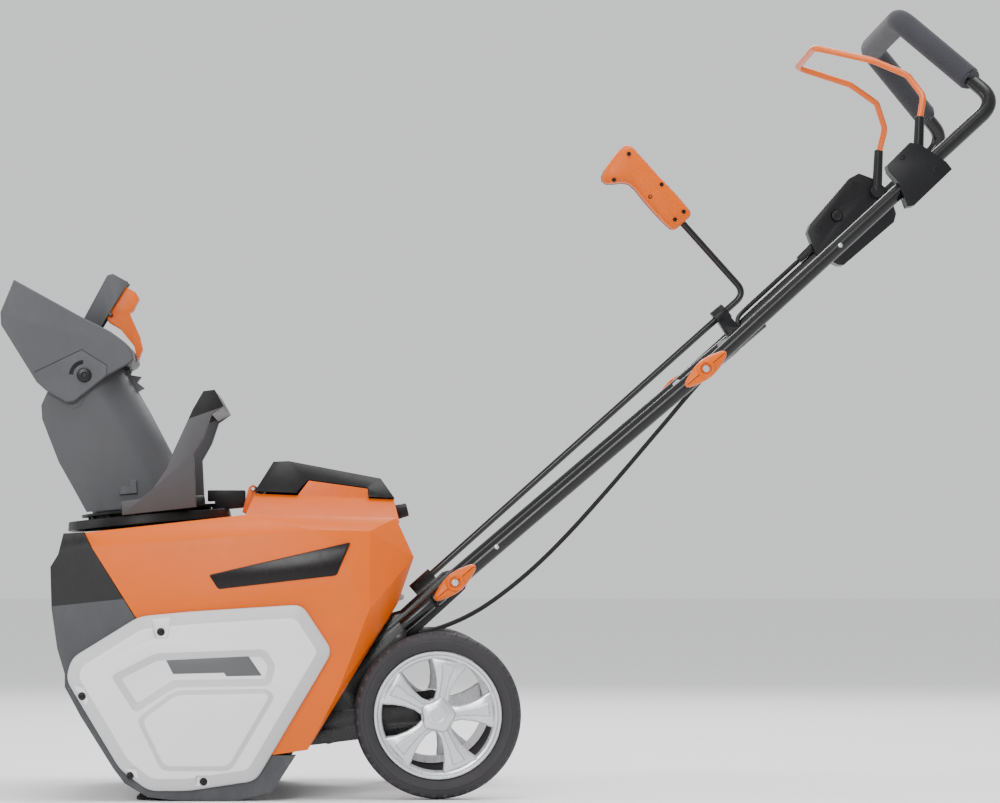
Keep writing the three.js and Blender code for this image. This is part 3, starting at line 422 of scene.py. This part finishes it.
def inset(outline, distance):
    """The outline moved inwards by a distance, corner by corner."""
    area = sum(a[0] * b[1] - b[0] * a[1] for a, b in zip(outline, outline[1:] + outline[:1]))
    turn = 1 if area > 0 else -1
    moved = []
    for i, p in enumerate(outline):
        before, after = outline[i - 1], outline[(i + 1) % len(outline)]
        a = Vector((p[0] - before[0], p[1] - before[1])).normalized()
        b = Vector((after[0] - p[0], after[1] - p[1])).normalized()
        normal = Vector((-a.y - b.y, a.x + b.x)) * turn
        if normal.length < 1e-6:
            normal = Vector((-a.y, a.x)) * turn
        normal.normalize()
        reach = distance / max(0.35, normal.dot(Vector((-a.y, a.x)) * turn))
        moved.append((p[0] + normal.x * reach, p[1] + normal.y * reach))
    return moved


def rounded_outline(outline, radius, steps=4):
    """The outline with its corners rounded off."""
    result = []
    for i, p in enumerate(outline):
        here = Vector(p)
        back = Vector(outline[i - 1]) - here
        ahead = Vector(outline[(i + 1) % len(outline)]) - here
        run = min(radius, back.length * 0.42, ahead.length * 0.42)
        enter, leave = here + back.normalized() * run, here + ahead.normalized() * run
        for k in range(steps + 1):
            t = k / steps
            q = enter * (1 - t) ** 2 + here * 2 * t * (1 - t) + leave * t * t
            result.append((q.x, q.y))
    return result


SIDES = (("left", -1), ("right", 1))

# ---------------------------------------------------------------- centre lines shared by the handle pieces
KNOB_LOW = (-48.3, 258.4)
KNOB_HIGH = (252.0, 514.3)
LOWER_Y = 199.5
UPPER_Y = 218.5
UPPER_END = Vector((607, 0, 840))
TOP = Vector((500, 140, 949))
BAIL_PIVOT = (514, 770)
BAIL_Y = 197
LOWER_DIR = (0.7615, 0.6486)


def on_lower(t, y=0.0, up=0.0):
    return Vector((KNOB_LOW[0] + t * LOWER_DIR[0] - up * LOWER_DIR[1], y,
                   KNOB_LOW[1] + t * LOWER_DIR[1] + up * LOWER_DIR[0]))


UPPER_DIR = (UPPER_END - Vector((KNOB_HIGH[0], 0, KNOB_HIGH[1]))).normalized()


def on_upper(t, y=0.0, up=0.0):
    return Vector((KNOB_HIGH[0] + t * UPPER_DIR.x - up * UPPER_DIR.z, y,
                   KNOB_HIGH[1] + t * UPPER_DIR.z + up * UPPER_DIR.x))


ROD_LOW = Vector((-97.4, 0, 246.7))
ROD_BEND = Vector((322, 0, 622))
ROD_DIR = (ROD_BEND - ROD_LOW).normalized()
ARM_DIR = Vector((-ROD_DIR.z, 0, ROD_DIR.x))


def on_rod(t):
    return ROD_LOW + ROD_DIR * t


def on_arm(t, y=0.0, along=0.0):
    return ROD_BEND + ARM_DIR * t + ROD_DIR * along + Vector((0, y, 0))


# ---------------------------------------------------------------- the control cable, in two lengths
UPPER_ROUTE = [on_upper(t, y, up) for t, y, up in (
    (231, UPPER_Y, 13.5), (200, UPPER_Y, 13.5), (165, UPPER_Y, 13.5), (135, UPPER_Y, 13.5), (122, 214, 12.5),
    (114, 206, 7), (108, 202, -6), (100, 200, -15), (88, LOWER_Y, -17.5), (60, LOWER_Y, -16),
    (42, LOWER_Y, -15))]
LOWER_ROUTE = [
    (-171.4, 135, 188), (-164, 136, 188), (-130, 140, 188), (-90, 144, 192), (-50, 148, 203), (-10, 152, 222),
    (30, 156, 250), (70, 162, 284), (110, 168, 324), (150, 174, 368), (185, 180, 408), (215, 186, 443),
    (240, 193, 472), (262, 198, 498), (290.5, 199.5, 530.5)]


def cable(name, node_name, route):
    line = curved(route, 5)
    mesh = sweep(name, line, 3.0, 14, lip=0.4)
    mesh.materials.append(MAT["black_plastic"])
    mesh.shade_smooth()
    made = bpy.data.objects.new(name, mesh)
    bpy.context.scene.collection.objects.link(made)
    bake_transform(made)
    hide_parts(node_name)
    return made


cable("control_cable_lower", "cable_lower", LOWER_ROUTE)
cable("control_cable_upper", "cable_upper", UPPER_ROUTE)

# ---------------------------------------------------------------- tubes, rods and grips
place("lower_handle_tubes", joined("lower_handle_tubes", [
    *(sweep("side", [on_lower(-33, s * LOWER_Y), on_lower(-20, s * LOWER_Y), on_lower(470, s * LOWER_Y),
                     on_lower(485, s * LOWER_Y)], 9.3, 28, lip=1.2) for _, s in SIDES),
    sweep("cross", [on_lower(471, -LOWER_Y), on_lower(471, LOWER_Y)], 8.0, 24)]),
    "lower_tubes", "black_paint", ["lower_handle"])


def corner(side):
    return Vector((UPPER_END.x, side * UPPER_Y, UPPER_END.z))


def top_corner(side):
    return Vector((TOP.x, side * TOP.y, TOP.z))


place("upper_handle_tube", sweep("upper_handle_tube", bent(
    [on_upper(-16, -UPPER_Y), corner(-1), top_corner(-1), top_corner(1), corner(1), on_upper(-16, UPPER_Y)],
    26, 12),
    8.9, 28, lip=1.2), "upper_tubes", "black_paint", ["upper_handle"])


def grip_end(side, t=0.27):
    return corner(side).lerp(top_corner(side), t)


grip_line = bent([grip_end(-1), grip_end(-1, 0.3), top_corner(-1), top_corner(1), grip_end(1, 0.3),
                  grip_end(1)], 26, 14)
place("foam_sleeve", sweep("foam_sleeve", grip_line, 14.8, 32, lip=2.2), "upper_tubes", "foam", ["foam_grip"])
place("turning_rod", sweep("turning_rod", bent([on_rod(20), ROD_BEND, on_arm(150)], 16, 12), 4.2, 20,
                           lip=0.4),
      "lever", "black_paint", ["control_rod"])


def bail_side(side):
    return [(516, side * BAIL_Y, 818), (523, side * (BAIL_Y - 14), 850), (508, side * 150, 880),
            (470, side * 122, 901),
            (399, side * 100, 920)]


place("bail_rod", sweep("bail_rod", bent([*bail_side(-1), *reversed(bail_side(1))], 22, 10), 4.0, 18,
                        lip=0.4),
      "bail_lever", "orange_rod", ["bail"])
for name, s in SIDES:
    foot = Vector((BAIL_PIVOT[0], s * BAIL_Y, BAIL_PIVOT[1]))
    tip = Vector((516.4, s * (BAIL_Y - 1), 824))
    place(f"bail_sleeve_{name}", joined("sleeve", [
        sweep("stem", [foot, foot.lerp(tip, 0.15), foot.lerp(tip, 0.8), tip], 6, 20,
              radii=[6.2, 6.4, 5.9, 5.7], lip=0.8),
        lathe("boss", foot, (0, 1, 0), [(7.5, -6), (8.5, -5), (8.5, 4.4), (7.5, 5.4)], 28),
        rod("pin", (foot.x, s * BAIL_Y, foot.z), (foot.x, s * 213, foot.z), 4, 20)]),
        "bail_lever", "black_plastic")

# ---------------------------------------------------------------- wheels
AXLE = (-69, 100)
WHEEL_MID = 215.5
FLARE = [(17, -9.5), (27, -8.5), (40, -11), (52, -15.5), (60, -20), (67, -23), (67, 23), (60, 20), (52, 15.5),
         (40, 11), (27, 8.5), (17, 9.5)]


def round_axle(point, angle):
    r, t = point
    return (AXLE[0] + r * math.cos(angle) - t * math.sin(angle),
            AXLE[1] + r * math.sin(angle) + t * math.cos(angle))


def tyre(name, s):
    centre = (AXLE[0], s * WHEEL_MID, AXLE[1])
    profile = [(76.9, -15), (79.5, -17.6), (81.5, -18.2), (83.0, -19.6), (88.5, -20.3), (89.4, -19.4),
               (90.6, -19.4),
               (92.5, -18.9), (96.2, -16.6), (98.4, -12.8), (99.1, -9.0), (98.3, -8.4), (98.3, -6.6),
               (99.8, -6.0),
               (100.0, 0.0)]
    profile += [(r, -h) for r, h in reversed(profile[:-1])]
    body = lathe("tyre", centre, (0, 1, 0), profile, 120, cap=False)
    work = bmesh.new()
    work.from_mesh(body)
    inner = [e for e in work.edges if e.is_boundary]
    bmesh.ops.bridge_loops(work, edges=inner)
    bmesh.ops.recalc_face_normals(work, faces=work.faces)
    work.to_mesh(body)
    work.free()
    blocks = []
    for i in range(44):
        angle = 2 * math.pi * (i + (0.5 if s < 0 else 0)) / 44
        for low, high, lean in ((-17.2, -10.2, 0.022), (10.2, 17.2, -0.022)):
            corners = []
            for y, top in ((low, 96.9), ((low + high) / 2, 99.2), (high, 99.6)):
                y = y if low < 0 else low + high - y
                for half in (-2.6, 2.6):
                    for r in (top - 4, top):
                        a = angle + half / 97 + lean * (abs(y) - 10) / 7 * (1 if low < 0 else -1)
                        corners.append((AXLE[0] + r * math.cos(a), s * WHEEL_MID + y,
                                        AXLE[1] + r * math.sin(a)))
            tread = bmesh.new()
            for c in corners:
                tread.verts.new(Vector(c) * MM)
            bmesh.ops.convex_hull(tread, input=tread.verts)
            mesh = bpy.data.meshes.new("lug")
            tread.to_mesh(mesh)
            tread.free()
            blocks.append(mesh)
    place(f"{name}_tyre_ribbed", joined("tyre", [body, *blocks]), f"{name}_wheel", "tyre", [f"{name}_tyre"],
          smooth=38)


def rim(name, s):
    centre = (AXLE[0], s * WHEEL_MID, AXLE[1])
    out = (0, s, 0)
    band = lathe("band", centre, out, [
        (66.8, -17), (76.4, -17), (76.4, -14), (74.8, -12), (74.8, 12), (76.4, 14), (76.4, 16.2), (75.6, 17),
        (73.4, 17),
        (72.2, 16), (71.2, 13.2), (68.6, 12.6), (67.2, 11), (66.8, 4), (66.8, -17)], 96, cap=False)
    hub = lathe("hub", centre, out, [(9, -18), (19, -18), (20, -17), (20, 13), (19, 14.5), (9, 14.5)], 48)
    lobes = []
    for y, scale in ((13.0, 1.0), (17.6, 1.0), (19.6, 0.93), (20.6, 0.8)):
        lobes.append([(AXLE[0] + r * math.cos(a), s * (WHEEL_MID + y), AXLE[1] + r * math.sin(a))
                      for a, r in (
            (2 * math.pi * i / 60,
             (19.4 + 1.7 * math.cos(5 * (2 * math.pi * i / 60) - math.radians(78) * 5)) * scale)
            for i in range(60))])
    cap = mesh_of("cap", *stacked(lobes))
    dome = lathe("dome", centre, out, [(11.5, 20.0), (11.5, 20.7), (10.2, 21.0), (7.5, 21.0), (6.9, 20.2),
                                       (3, 20.2)], 40)
    parts = [band, hub, cap, dome]
    for i in range(5):
        angle = math.radians(78 + 72 * i)
        rows = []
        for y, shrink in ((2.5, 2.2), (4.5, 0.3), (11.5, 0.0), (13.6, 1.2), (14.2, 2.6)):
            rows.append(([round_axle(p, angle) for p in inset(FLARE, shrink)], s * (WHEEL_MID + y)))
        parts.append(drafted("spoke", rows))
        rib = [(20, -3.4), (44, -4.6), (62, -8.0), (62, 8.0), (44, 4.6), (20, 3.4)]
        parts.append(drafted("rib", [([round_axle(p, angle) for p in inset(rib, k)], s * (WHEEL_MID + y))
                                     for y, k in ((13.5, 0.0), (15.4, 0.3), (16.2, 1.2))]))
    place(f"{name}_rim_spoked", joined("rim", parts), f"{name}_wheel", "silver_plastic", [f"{name}_rim"],
          smooth=32)


for name, s in SIDES:
    tyre(name, s)
    rim(name, s)

# ---------------------------------------------------------------- side covers
COVER = [
    (-424, 218.5), (-366, 224), (-231, 232.5), (-194.5, 177), (-285, 23.5), (-365, 11.6), (-412, 11.6),
    (-446, 37),
    (-510.5, 144), (-504, 169)]
RECESS = [(-457.4, 148.4), (-404.2, 175), (-274, 180), (-261.4, 161), (-267.8, 135.8), (-380.4, 134.4),
          (-428, 103.5)]
PANEL = [(-422.4, 96.5), (-379.9, 127.8), (-272.6, 129.7), (-266.8, 123.2), (-316, 39.1), (-394.4, 39.1)]
LABEL = [(-391.6, 166.6), (-294.2, 171.6), (-278.2, 148.4), (-320.2, 147.5), (-323, 151.7), (-383.2, 150.3)]
POCKETS = [
    [(-413.5, 232), (-383, 234), (-388.8, 191.2), (-405.6, 191.2)],
    [(-520, 143), (-488, 137), (-480.5, 115.5), (-500, 104)],
    [(-449, 25), (-441, 41), (-425, 40), (-421, 20), (-436, 8)],
    [(-358.5, 4), (-356.6, 31.5), (-339.8, 31.5), (-336.4, 4)]]
COVER_SCREWS = [(-398, 200), (-491, 124), (-434, 30), (-347, 23)]


def carve(mesh, cutters):
    """The mesh with closed cutters subtracted."""
    base = bpy.data.objects.new("carved", mesh)
    bpy.context.scene.collection.objects.link(base)
    tool = bpy.data.objects.new("tool", joined("tool", cutters))
    bpy.context.scene.collection.objects.link(tool)
    step = base.modifiers.new("cut", "BOOLEAN")
    step.operation = "DIFFERENCE"
    step.solver = "EXACT"
    step.use_self = True
    step.object = tool
    result = bpy.data.meshes.new_from_object(base.evaluated_get(bpy.context.evaluated_depsgraph_get()))
    bpy.data.objects.remove(base)
    bpy.data.objects.remove(tool)
    return result


def screw(centre, out, radius=4.2, name="screw"):
    """A pan head with a round socket, seen from outside."""
    return lathe(name, centre, out, [
        (radius * 0.7, -3), (radius, -2.6), (radius, 0), (radius * 0.86, 0.7), (radius * 0.42, 0.9),
        (radius * 0.38, -0.6)], 24)


for name, s in SIDES:
    shell = drafted("cover", [(rounded_outline(inset(COVER, d), max(3.0, 11 - d * 0.3)), s * y) for d, y in (
        (0, 250.5), (0.3, 254.5), (1.6, 256.4), (13.2, 264.2), (15.2, 265.0), (17.6, 265.2))])
    cutters = [drafted("pocket", [(rounded_outline(inset(p, 1.6), 2), s * 258.5),
                                  (rounded_outline(p, 2), s * 272)])
               for p in POCKETS]
    cutters.append(drafted("recess", [(rounded_outline(inset(RECESS, 9), 4), s * 261.6),
                                      (rounded_outline(inset(RECESS, -1.5), 8), s * 265.9)]))
    cutters += [lathe("hole", (x, s * 255, z), (0, s, 0), [(5.0, 0), (5.0, 20)], 24) for x, z in COVER_SCREWS]
    face = carve(shell, cutters)
    raised = drafted("raised", [(rounded_outline(inset(PANEL, d), 9), s * y) for d, y in (
        (-4.5, 262), (-3.5, 265.1), (2.5, 267.5), (5.5, 267.9))])
    panel = place(f"{name}_cover_panel", joined("cover", [face, raised]), "chassis", "white_plastic",
                  [f"{name}_side_cover"], smooth=24, bevel=0.7, bevel_angle=18)
    panel.data.materials.append(TWEAK["cover_slope_painted_shade"])
    # faces that turn away from the cover's flat face take the darker grey: painted shade on the rim and recess
    # slopes
    for part in panel.data.polygons:
        if abs(part.normal.y) < 0.975:
            part.material_index = 1
    place(f"{name}_cover_screws", joined("screws", [screw((x, s * 257.6, z), (0, s, 0))
                                                    for x, z in COVER_SCREWS]),
          "chassis", "steel", material=TWEAK["screw_black"])
    place(f"{name}_cover_badge", drafted("badge", [(LABEL, s * 261.3), (LABEL, s * 261.9),
                                                   (inset(LABEL, 0.4), s * 262.05)]),
          "chassis", "grey_plastic", material=TWEAK["label_grey"])


# ---------------------------------------------------------------- painted hood and black front
def crease(x):
    """Height of the crease along the body's side."""
    line = [(-540, 229.0), (-442, 239.5), (-376, 248), (-325, 243.5), (-246, 252), (-176, 262), (-100, 262)]
    for (x0, z0), (x1, z1) in zip(line, line[1:]):
        if x <= x1:
            return z0 + (z1 - z0) * max(0.0, x - x0) / (x1 - x0)
    return line[-1][1]


refined("hood", bevel=1.6, smooth=24, segments=3, bevel_angle=12)
housing = refined("auger_housing", smooth=30, material=TWEAK["housing_side_painted_reflection"])
housing.data.materials.append(MAT["dark_plastic"])
# below the crease the sides keep the lighter grey, a painted reflection of the floor; above it and across the
# front they are dark plastic
for face in housing.data.polygons:
    x, y, z = (c / MM for c in face.center)
    if z > crease(x) + 1 or abs(y) < 226:
        face.material_index = 1

for name, s in SIDES:
    strip = [(-341.8, 267.5), (-173.5, 306.5), (-190, 267), (-330.5, 250.5)]
    def shoulder(x, z, lift):
        return (x, s * (250 - (z - crease(x)) * 0.115 + lift), z)
    edge = rounded_outline(strip, 3)
    points, faces = stacked([[shoulder(x, z, -2.5) for x, z in edge], [shoulder(x, z, 0.9) for x, z in edge],
                             [shoulder(x, z, 1.2) for x, z in inset(edge, 0.6)]])
    place(f"{name}_side_badge", mesh_of("badge", points, faces), "chassis", "black_plastic",
          material=TWEAK["label_black"], smooth=30)

# ---------------------------------------------------------------- discharge chute and deflector
PIVOT = (-502.4, 513.7)
CHUTE_ROWS = [
    ((-500, 345), (-362, 357), 62), ((-517, 376), (-377.5, 384), 63), ((-534, 406), (-393, 411), 64),
    ((-545, 434), (-408.5, 440.5), 64.6), ((-555, 460), (-424, 470), 65), ((-556, 477), (-441, 499), 65),
    ((-549, 493), (-459, 528), 65)]


def channel(row, wall):
    """One section of the open-fronted channel: outside run first, then the inside back again."""
    front, back, half = Vector(row[0]), Vector(row[1]), row[2]
    along = (back - front)
    depth = along.length
    along.normalize()

    def point(d, y):
        p = front + along * d
        return (p.x, y, p.y)

    def arc(trim):
        across = half - trim
        return [(depth - trim - across * 0.75 * (1 - math.cos(a)), across * math.sin(a))
                for a in (-math.pi / 2 + math.pi * i / 22 for i in range(23))]
    lip = 1.1
    outer = [(0.2, -half + lip), (lip, -half), *arc(0), (lip, half), (0.2, half - lip)]
    inner = [(0.2, half - wall + lip), (lip, half - wall), *reversed(arc(wall)), (lip, -half + wall),
             (0.2, -half + wall - lip)]
    return [point(d, y) for d, y in outer + inner]


def chute_extras():
    """The pieces of the chute's CAD node other than its channel: skirt, ratchet and ears."""
    skirt = lathe("skirt", (-424, 0, 335), (-math.sin(math.radians(5)), 0, math.cos(math.radians(5))), [
        (65.2, 15.2), (69.4, 15.2), (70, 16), (70, 23), (68.4, 26), (65.2, 26), (65.2, 15.2)], 72, cap=False)
    teeth = [(-461, 520), (-447, 525), (-449.5, 517), (-436, 515), (-441, 508), (-432, 501), (-444, 494)]
    ratchet = prism("ratchet", teeth, -9, 9)
    clips = []
    for _, s in SIDES:
        clips.append(drafted("clip", [([(-459, 366), (-437, 368), (-438, 384), (-446, 385), (-447, 377),
                                        (-458, 376)], s * 61),
                                      ([(-458.5, 366.5), (-437.5, 368.5), (-438.5, 383.5), (-445.5, 384.5),
                                        (-446.5, 376.5),
                                        (-457.5, 375.5)], s * 66.5)]))
        ear = []
        for i in range(40):
            a = 2 * math.pi * i / 40
            mid = PIVOT if math.cos(a - math.radians(63)) > 0 else (-517, 486)
            ear.append((mid[0] + 13 * math.cos(a), mid[1] + 13 * math.sin(a)))
        clips.append(drafted("ear", [(ear, s * 60.9), (ear, s * 65.0), (inset(ear, 0.5), s * 65.5)]))
    return [skirt, ratchet, *clips]


points, faces = stacked([channel(row, 4) for row in CHUTE_ROWS])
place("chute_channel", joined("chute", [mesh_of("channel", points, faces), *chute_extras()]), "chute",
      "grey_plastic",
      ["chute_tube"], smooth=42)

DEFLECTOR = [
    (-589.5, 631.7), (-606, 591), (-605, 575.5), (-561, 505), (-548.7, 494), (-524.4, 479.5), (-514.5, 480.6),
    (-476, 511.5), (-445, 529), (-441.7, 533.6), (-443, 542), (-447, 548.5), (-452, 554), (-458.5, 559.2),
    (-470, 567.5),
    (-487, 576.3), (-505.7, 585.4)]
HOLLOW = [
    (-640, 654.5), (-660, 560), (-560, 400), (-420, 400), (-451, 526), (-446.5, 532.5), (-448, 540),
    (-452, 546.5),
    (-457, 552), (-463, 556.5), (-472, 563.6), (-488, 572), (-507.6, 581.8)]
EAR_LINE = [(-563, 517.8), (-505.5, 545.5), (-474, 526), (-474.5, 511)]


def slot_arc(radius, width, low, high, steps=12):
    """A curved slot round the pivot."""
    out = [(PIVOT[0] + (radius + width / 2) * math.cos(a), PIVOT[1] + (radius + width / 2) * math.sin(a))
           for a in (math.radians(low + (high - low) * i / steps) for i in range(steps + 1))]
    back = [(PIVOT[0] + (radius - width / 2) * math.cos(a), PIVOT[1] + (radius - width / 2) * math.sin(a))
            for a in (math.radians(high + (low - high) * i / steps) for i in range(steps + 1))]
    return out + back


side_rows = [(inset(DEFLECTOR, 1.6), -75), (DEFLECTOR, -73.4), (DEFLECTOR, 73.4), (inset(DEFLECTOR, 1.6), 75)]
cutters = [prism("hollow", HOLLOW, -70.5, 70.5)]
for _, s in SIDES:
    trace = EAR_LINE + [(x - 0.6, z - 1.2) for x, z in reversed(EAR_LINE)]
    cutters.append(prism("groove", trace, min(s * 74.2, s * 77), max(s * 74.2, s * 77)))
    cutters.append(prism("slot", slot_arc(16, 5, 95, 178), min(s * 66, s * 80), max(s * 66, s * 80)))
    cutters.append(lathe("bore", (PIVOT[0], s * 60, PIVOT[1]), (0, s, 0), [(4.6, 0), (4.6, 20)], 24))
place("deflector_hood", carve(drafted("deflector", side_rows), cutters), "deflector_hood", "grey_plastic",
      ["deflector"],
      smooth=30)
for name, s in SIDES:
    centre = (PIVOT[0], s * 75.4, PIVOT[1])
    place(f"deflector_bolt_{name}", joined("bolt", [
        lathe("head", centre, (0, s, 0), [(6, 0), (9, 0), (9, 1.6), (8.2, 2.6), (4.4, 3.5), (3.6, 3.5),
                                          (3.0, 1.2)], 36),
        rod("shank", (PIVOT[0], s * 57, PIVOT[1]), (PIVOT[0], s * 76, PIVOT[1]), 4, 24)]),
        BODY[f"deflector_pivot_{name}"], "steel", [f"deflector_pivot_{name}"], material=TWEAK["screw_black"])

# ---------------------------------------------------------------- wing knobs
WING = [(0, -12), (13, -10), (29, -4.5), (33, 0), (29, 4.5), (13, 10), (0, 12), (-13, 10), (-29, 4.5),
        (-33, 0),
        (-29, -4.5), (-13, -10)]


def wing_knob(name, at, s, near, bolt_from):
    """A long orange wing with a round boss and, in the boss, the head of the clamp bolt."""
    c, d = LOWER_DIR
    wing = rounded_outline([(at[0] + u * c - w * d, at[1] + u * d + w * c) for u, w in WING], 3, 3)
    body = drafted("wing", [(inset(wing, k), s * (near + y)) for k, y in (
        (1.6, 4.0), (0.2, 5.0), (0.0, 9.0), (0.8, 12.4), (2.2, 14.4), (3.6, 15.0))])
    boss = lathe("boss", (at[0], 0, at[1]), (0, s, 0), [
        (10.2, near + 0.5), (11, near + 1.4), (11, near + 15.5), (9.6, near + 17.6), (8.2, near + 18),
        (6.9, near + 17.4),
        (6.3, near + 14.6), (2.0, near + 14.4)], 40)
    bolt = joined("bolt", [
        lathe("hex", (at[0], 0, at[1]), (0, s, 0), [(4.2, near + 14.2), (4.8, near + 14.6),
                                                    (4.8, near + 16.4), (4.0, near + 17.0)], 6),
        lathe("shank", (at[0], 0, at[1]), (0, s, 0), [(4, bolt_from), (4, near + 3)], 24),
        lathe("head", (at[0], 0, at[1]), (0, s, 0), [(7.2, bolt_from - 5), (8, bolt_from - 4.2),
                                                     (8, bolt_from), (4, bolt_from)], 6)])
    place(f"{name}_wing", joined("knob", [body, boss]), BODY[name], "orange_plastic", [name], smooth=32)
    place(f"{name}_bolt", bolt, BODY[name], "steel", smooth=30)


for name, s in SIDES:
    wing_knob(f"{name}_lower_knob", KNOB_LOW, s, LOWER_Y + 9.3, 179.5)
    wing_knob(f"{name}_upper_knob", KNOB_HIGH, s, UPPER_Y + 9.3, LOWER_Y - 9.8)

# ---------------------------------------------------------------- the remaining moulded and pressed pieces
for name, radius, angle in (
        ("chute_deck", 1.6, 30), ("chute_ring", 0.4, 40), ("gear_housing", 1.2, 30),
        ("battery_lid", 1.6, 30), ("lid_catch_knob", 0.8, 40), ("deflector_grip", 1.2, 30),
        ("latch_lever", 1.6, 34),
        ("left_bracket", 0.6, 34), ("right_bracket", 0.6, 34), ("switch_box", 2.6, 34),
        ("pivot_box", 2.6, 34),
        ("rod_guide", 1.0, 34), ("cable_strain_relief", 0.5, 34),
        ("scraper_bar", 0.5, 30), ("axle", 0.6, 34), ("rear_cross_beam", 0.4, 34)):
    refined(name, bevel=radius, smooth=angle, segments=3)

CUT_X, CUT_Z, CUT_SLOPE = -0.353, 0.4635, 0.35  # the sloping line where the carry handle turns black
CROSSBAR_X, CROSSBAR_Z, CROSSBAR_REAR_X = -0.351, 0.462, -0.345  # faces past these belong to the crossbar
handle = refined("carry_handle", bevel=1.4, smooth=30, segments=3)
handle.data.materials.append(MAT["dark_plastic"])
work = bmesh.new()
work.from_mesh(handle.data)
bmesh.ops.bisect_plane(work, geom=[*work.verts, *work.edges, *work.faces], dist=1e-6,
                       plane_co=(CUT_X, 0, CUT_Z), plane_no=(-CUT_SLOPE, 0, 1))
work.to_mesh(handle.data)
work.free()
for part in handle.data.polygons:
    above_cut = part.center.z - CUT_Z - CUT_SLOPE * (part.center.x - CUT_X) > 0
    on_crossbar = (part.center.x > CROSSBAR_X and part.center.z > CROSSBAR_Z) or part.center.x > CROSSBAR_REAR_X
    if above_cut or on_crossbar:
        part.material_index = 1
for name in BODY:
    for part_slot in frame["nodes"][name].material_slots:
        part_slot.material = MAT[SLOT[name]]

# ---------------------------------------------------------------- pistol-shaped lever grip
GRIP_ROWS = [
    (118.0, -11, 11, 8), (119.0, -14, 14, 11.5), (122, -16.6, 16.6, 14), (132, -18, 17.4, 15.4),
    (150, -18.8, 18, 16.6),
    (170, -18.6, 17.6, 16.8), (190, -17.4, 16.8, 16.6), (200, -18.4, 16.8, 16.6), (207, -24, 17, 16.8),
    (213, -32.5, 17, 16.9), (219, -39.5, 17, 16.6), (225, -41, 17, 16.2), (230, -37.5, 16.8, 15.4),
    (234, -28, 16, 14.4),
    (237, -17, 14, 13), (239.4, -3, 11, 10)]


def rounded_section(t, back, front, half, sides=36, squareness=0.62):
    """A soft-cornered section of the grip, square to the arm."""
    middle, reach = (back + front) / 2, (front - back) / 2
    ring = []
    for i in range(sides):
        c, d = math.cos(2 * math.pi * i / sides), math.sin(2 * math.pi * i / sides)
        along = middle + math.copysign(abs(c) ** squareness, c) * reach
        ring.append(on_arm(t, math.copysign(abs(d) ** squareness, d) * half, along))
    return ring


points, faces = stacked([rounded_section(*row) for row in GRIP_ROWS])
place("pistol_grip", mesh_of("grip", points, faces), "lever", "orange_plastic", ["control_lever_grip"],
      smooth=50)
place("grip_seam", joined("seam", [sweep("line", [on_arm(t, 0, edge(back, front))
                                                  for t, back, front, _ in GRIP_ROWS[2:-2]],
                                         0.55, 8, lip=0.2)
                                   for edge in (lambda b, f: b - 0.1, lambda b, f: f + 0.1)]),
      "lever", "orange_plastic", material=TWEAK["screw_black"])

# ------------------------------------------------ screws, seams and plugs on the handle pieces
GRIP_SCREWS = [(128, -6), (128, 9), (170, -10), (172, 11), (216, -30), (228, 6)]
dots = []
for t, along in GRIP_SCREWS:
    spot = on_arm(t, 0, along)
    for _, s in SIDES:
        dots.append(lathe("dot", (spot.x, s * 13.6, spot.z), (0, s, 0),
                          [(2.0, -4), (2.6, 0), (2.6, 2.9), (2.0, 3.2), (1.2, 2.2)], 20))
place("grip_screws", joined("dots", dots), "lever", "steel", material=TWEAK["screw_black"])

BOX_SCREWS = {"switch_box": ((484, 779), (437, 720)), "pivot_box": ((490, 770), (530, 756))}
for name, spots in BOX_SCREWS.items():
    out = 1 if name == "switch_box" else -1
    place(f"{name}_screws", joined("screws", [
        lathe("well", (x, out * 202.4, z), (0, -out, 0), [(4.2, -3), (4.2, 0.0), (3.2, 0.1), (2.8, -1.6)], 24)
        for x, z in spots] + [screw((x, out * 234.8, z), (0, out, 0), 3.8) for x, z in spots]),
        BODY[name], "steel", material=TWEAK["screw_black"])

place("lockout_cap", lathe("cap", (462, 205.9, 738), (0, -1, 0), [
    (6.6, 0), (7, 0.6), (7, 6.6), (6.2, 7.6), (4.6, 7.9), (3.8, 7.2)], 36), "lockout", "black_plastic",
      ["lockout_button"])

for name, s in SIDES:
    for t, label in ((66, "low"), (262, "high")):
        spot = on_lower(t, s * (LOWER_Y + 9.0), 0) if label == "low" else on_upper(t - 40,
            s * (UPPER_Y + 8.7), 0)
        place(f"{name}_{label}_tube_plug", lathe("plug", spot, (0, s, 0),
                                                 [(2.4, -2), (2.8, -0.6), (2.8, 0.5), (1.8, 1.0)], 20),
              "lower_tubes" if label == "low" else "upper_tubes", "steel")
    cap_end = on_lower(485.2, s * LOWER_Y)
    place(f"{name}_lower_tube_cap", lathe("cap", cap_end, (LOWER_DIR[0], 0, LOWER_DIR[1]), [
        (8.8, -0.6), (9.3, 0.2), (9.3, 1.6), (8.2, 2.6), (4, 3.0)], 28), "lower_tubes", "black_plastic")
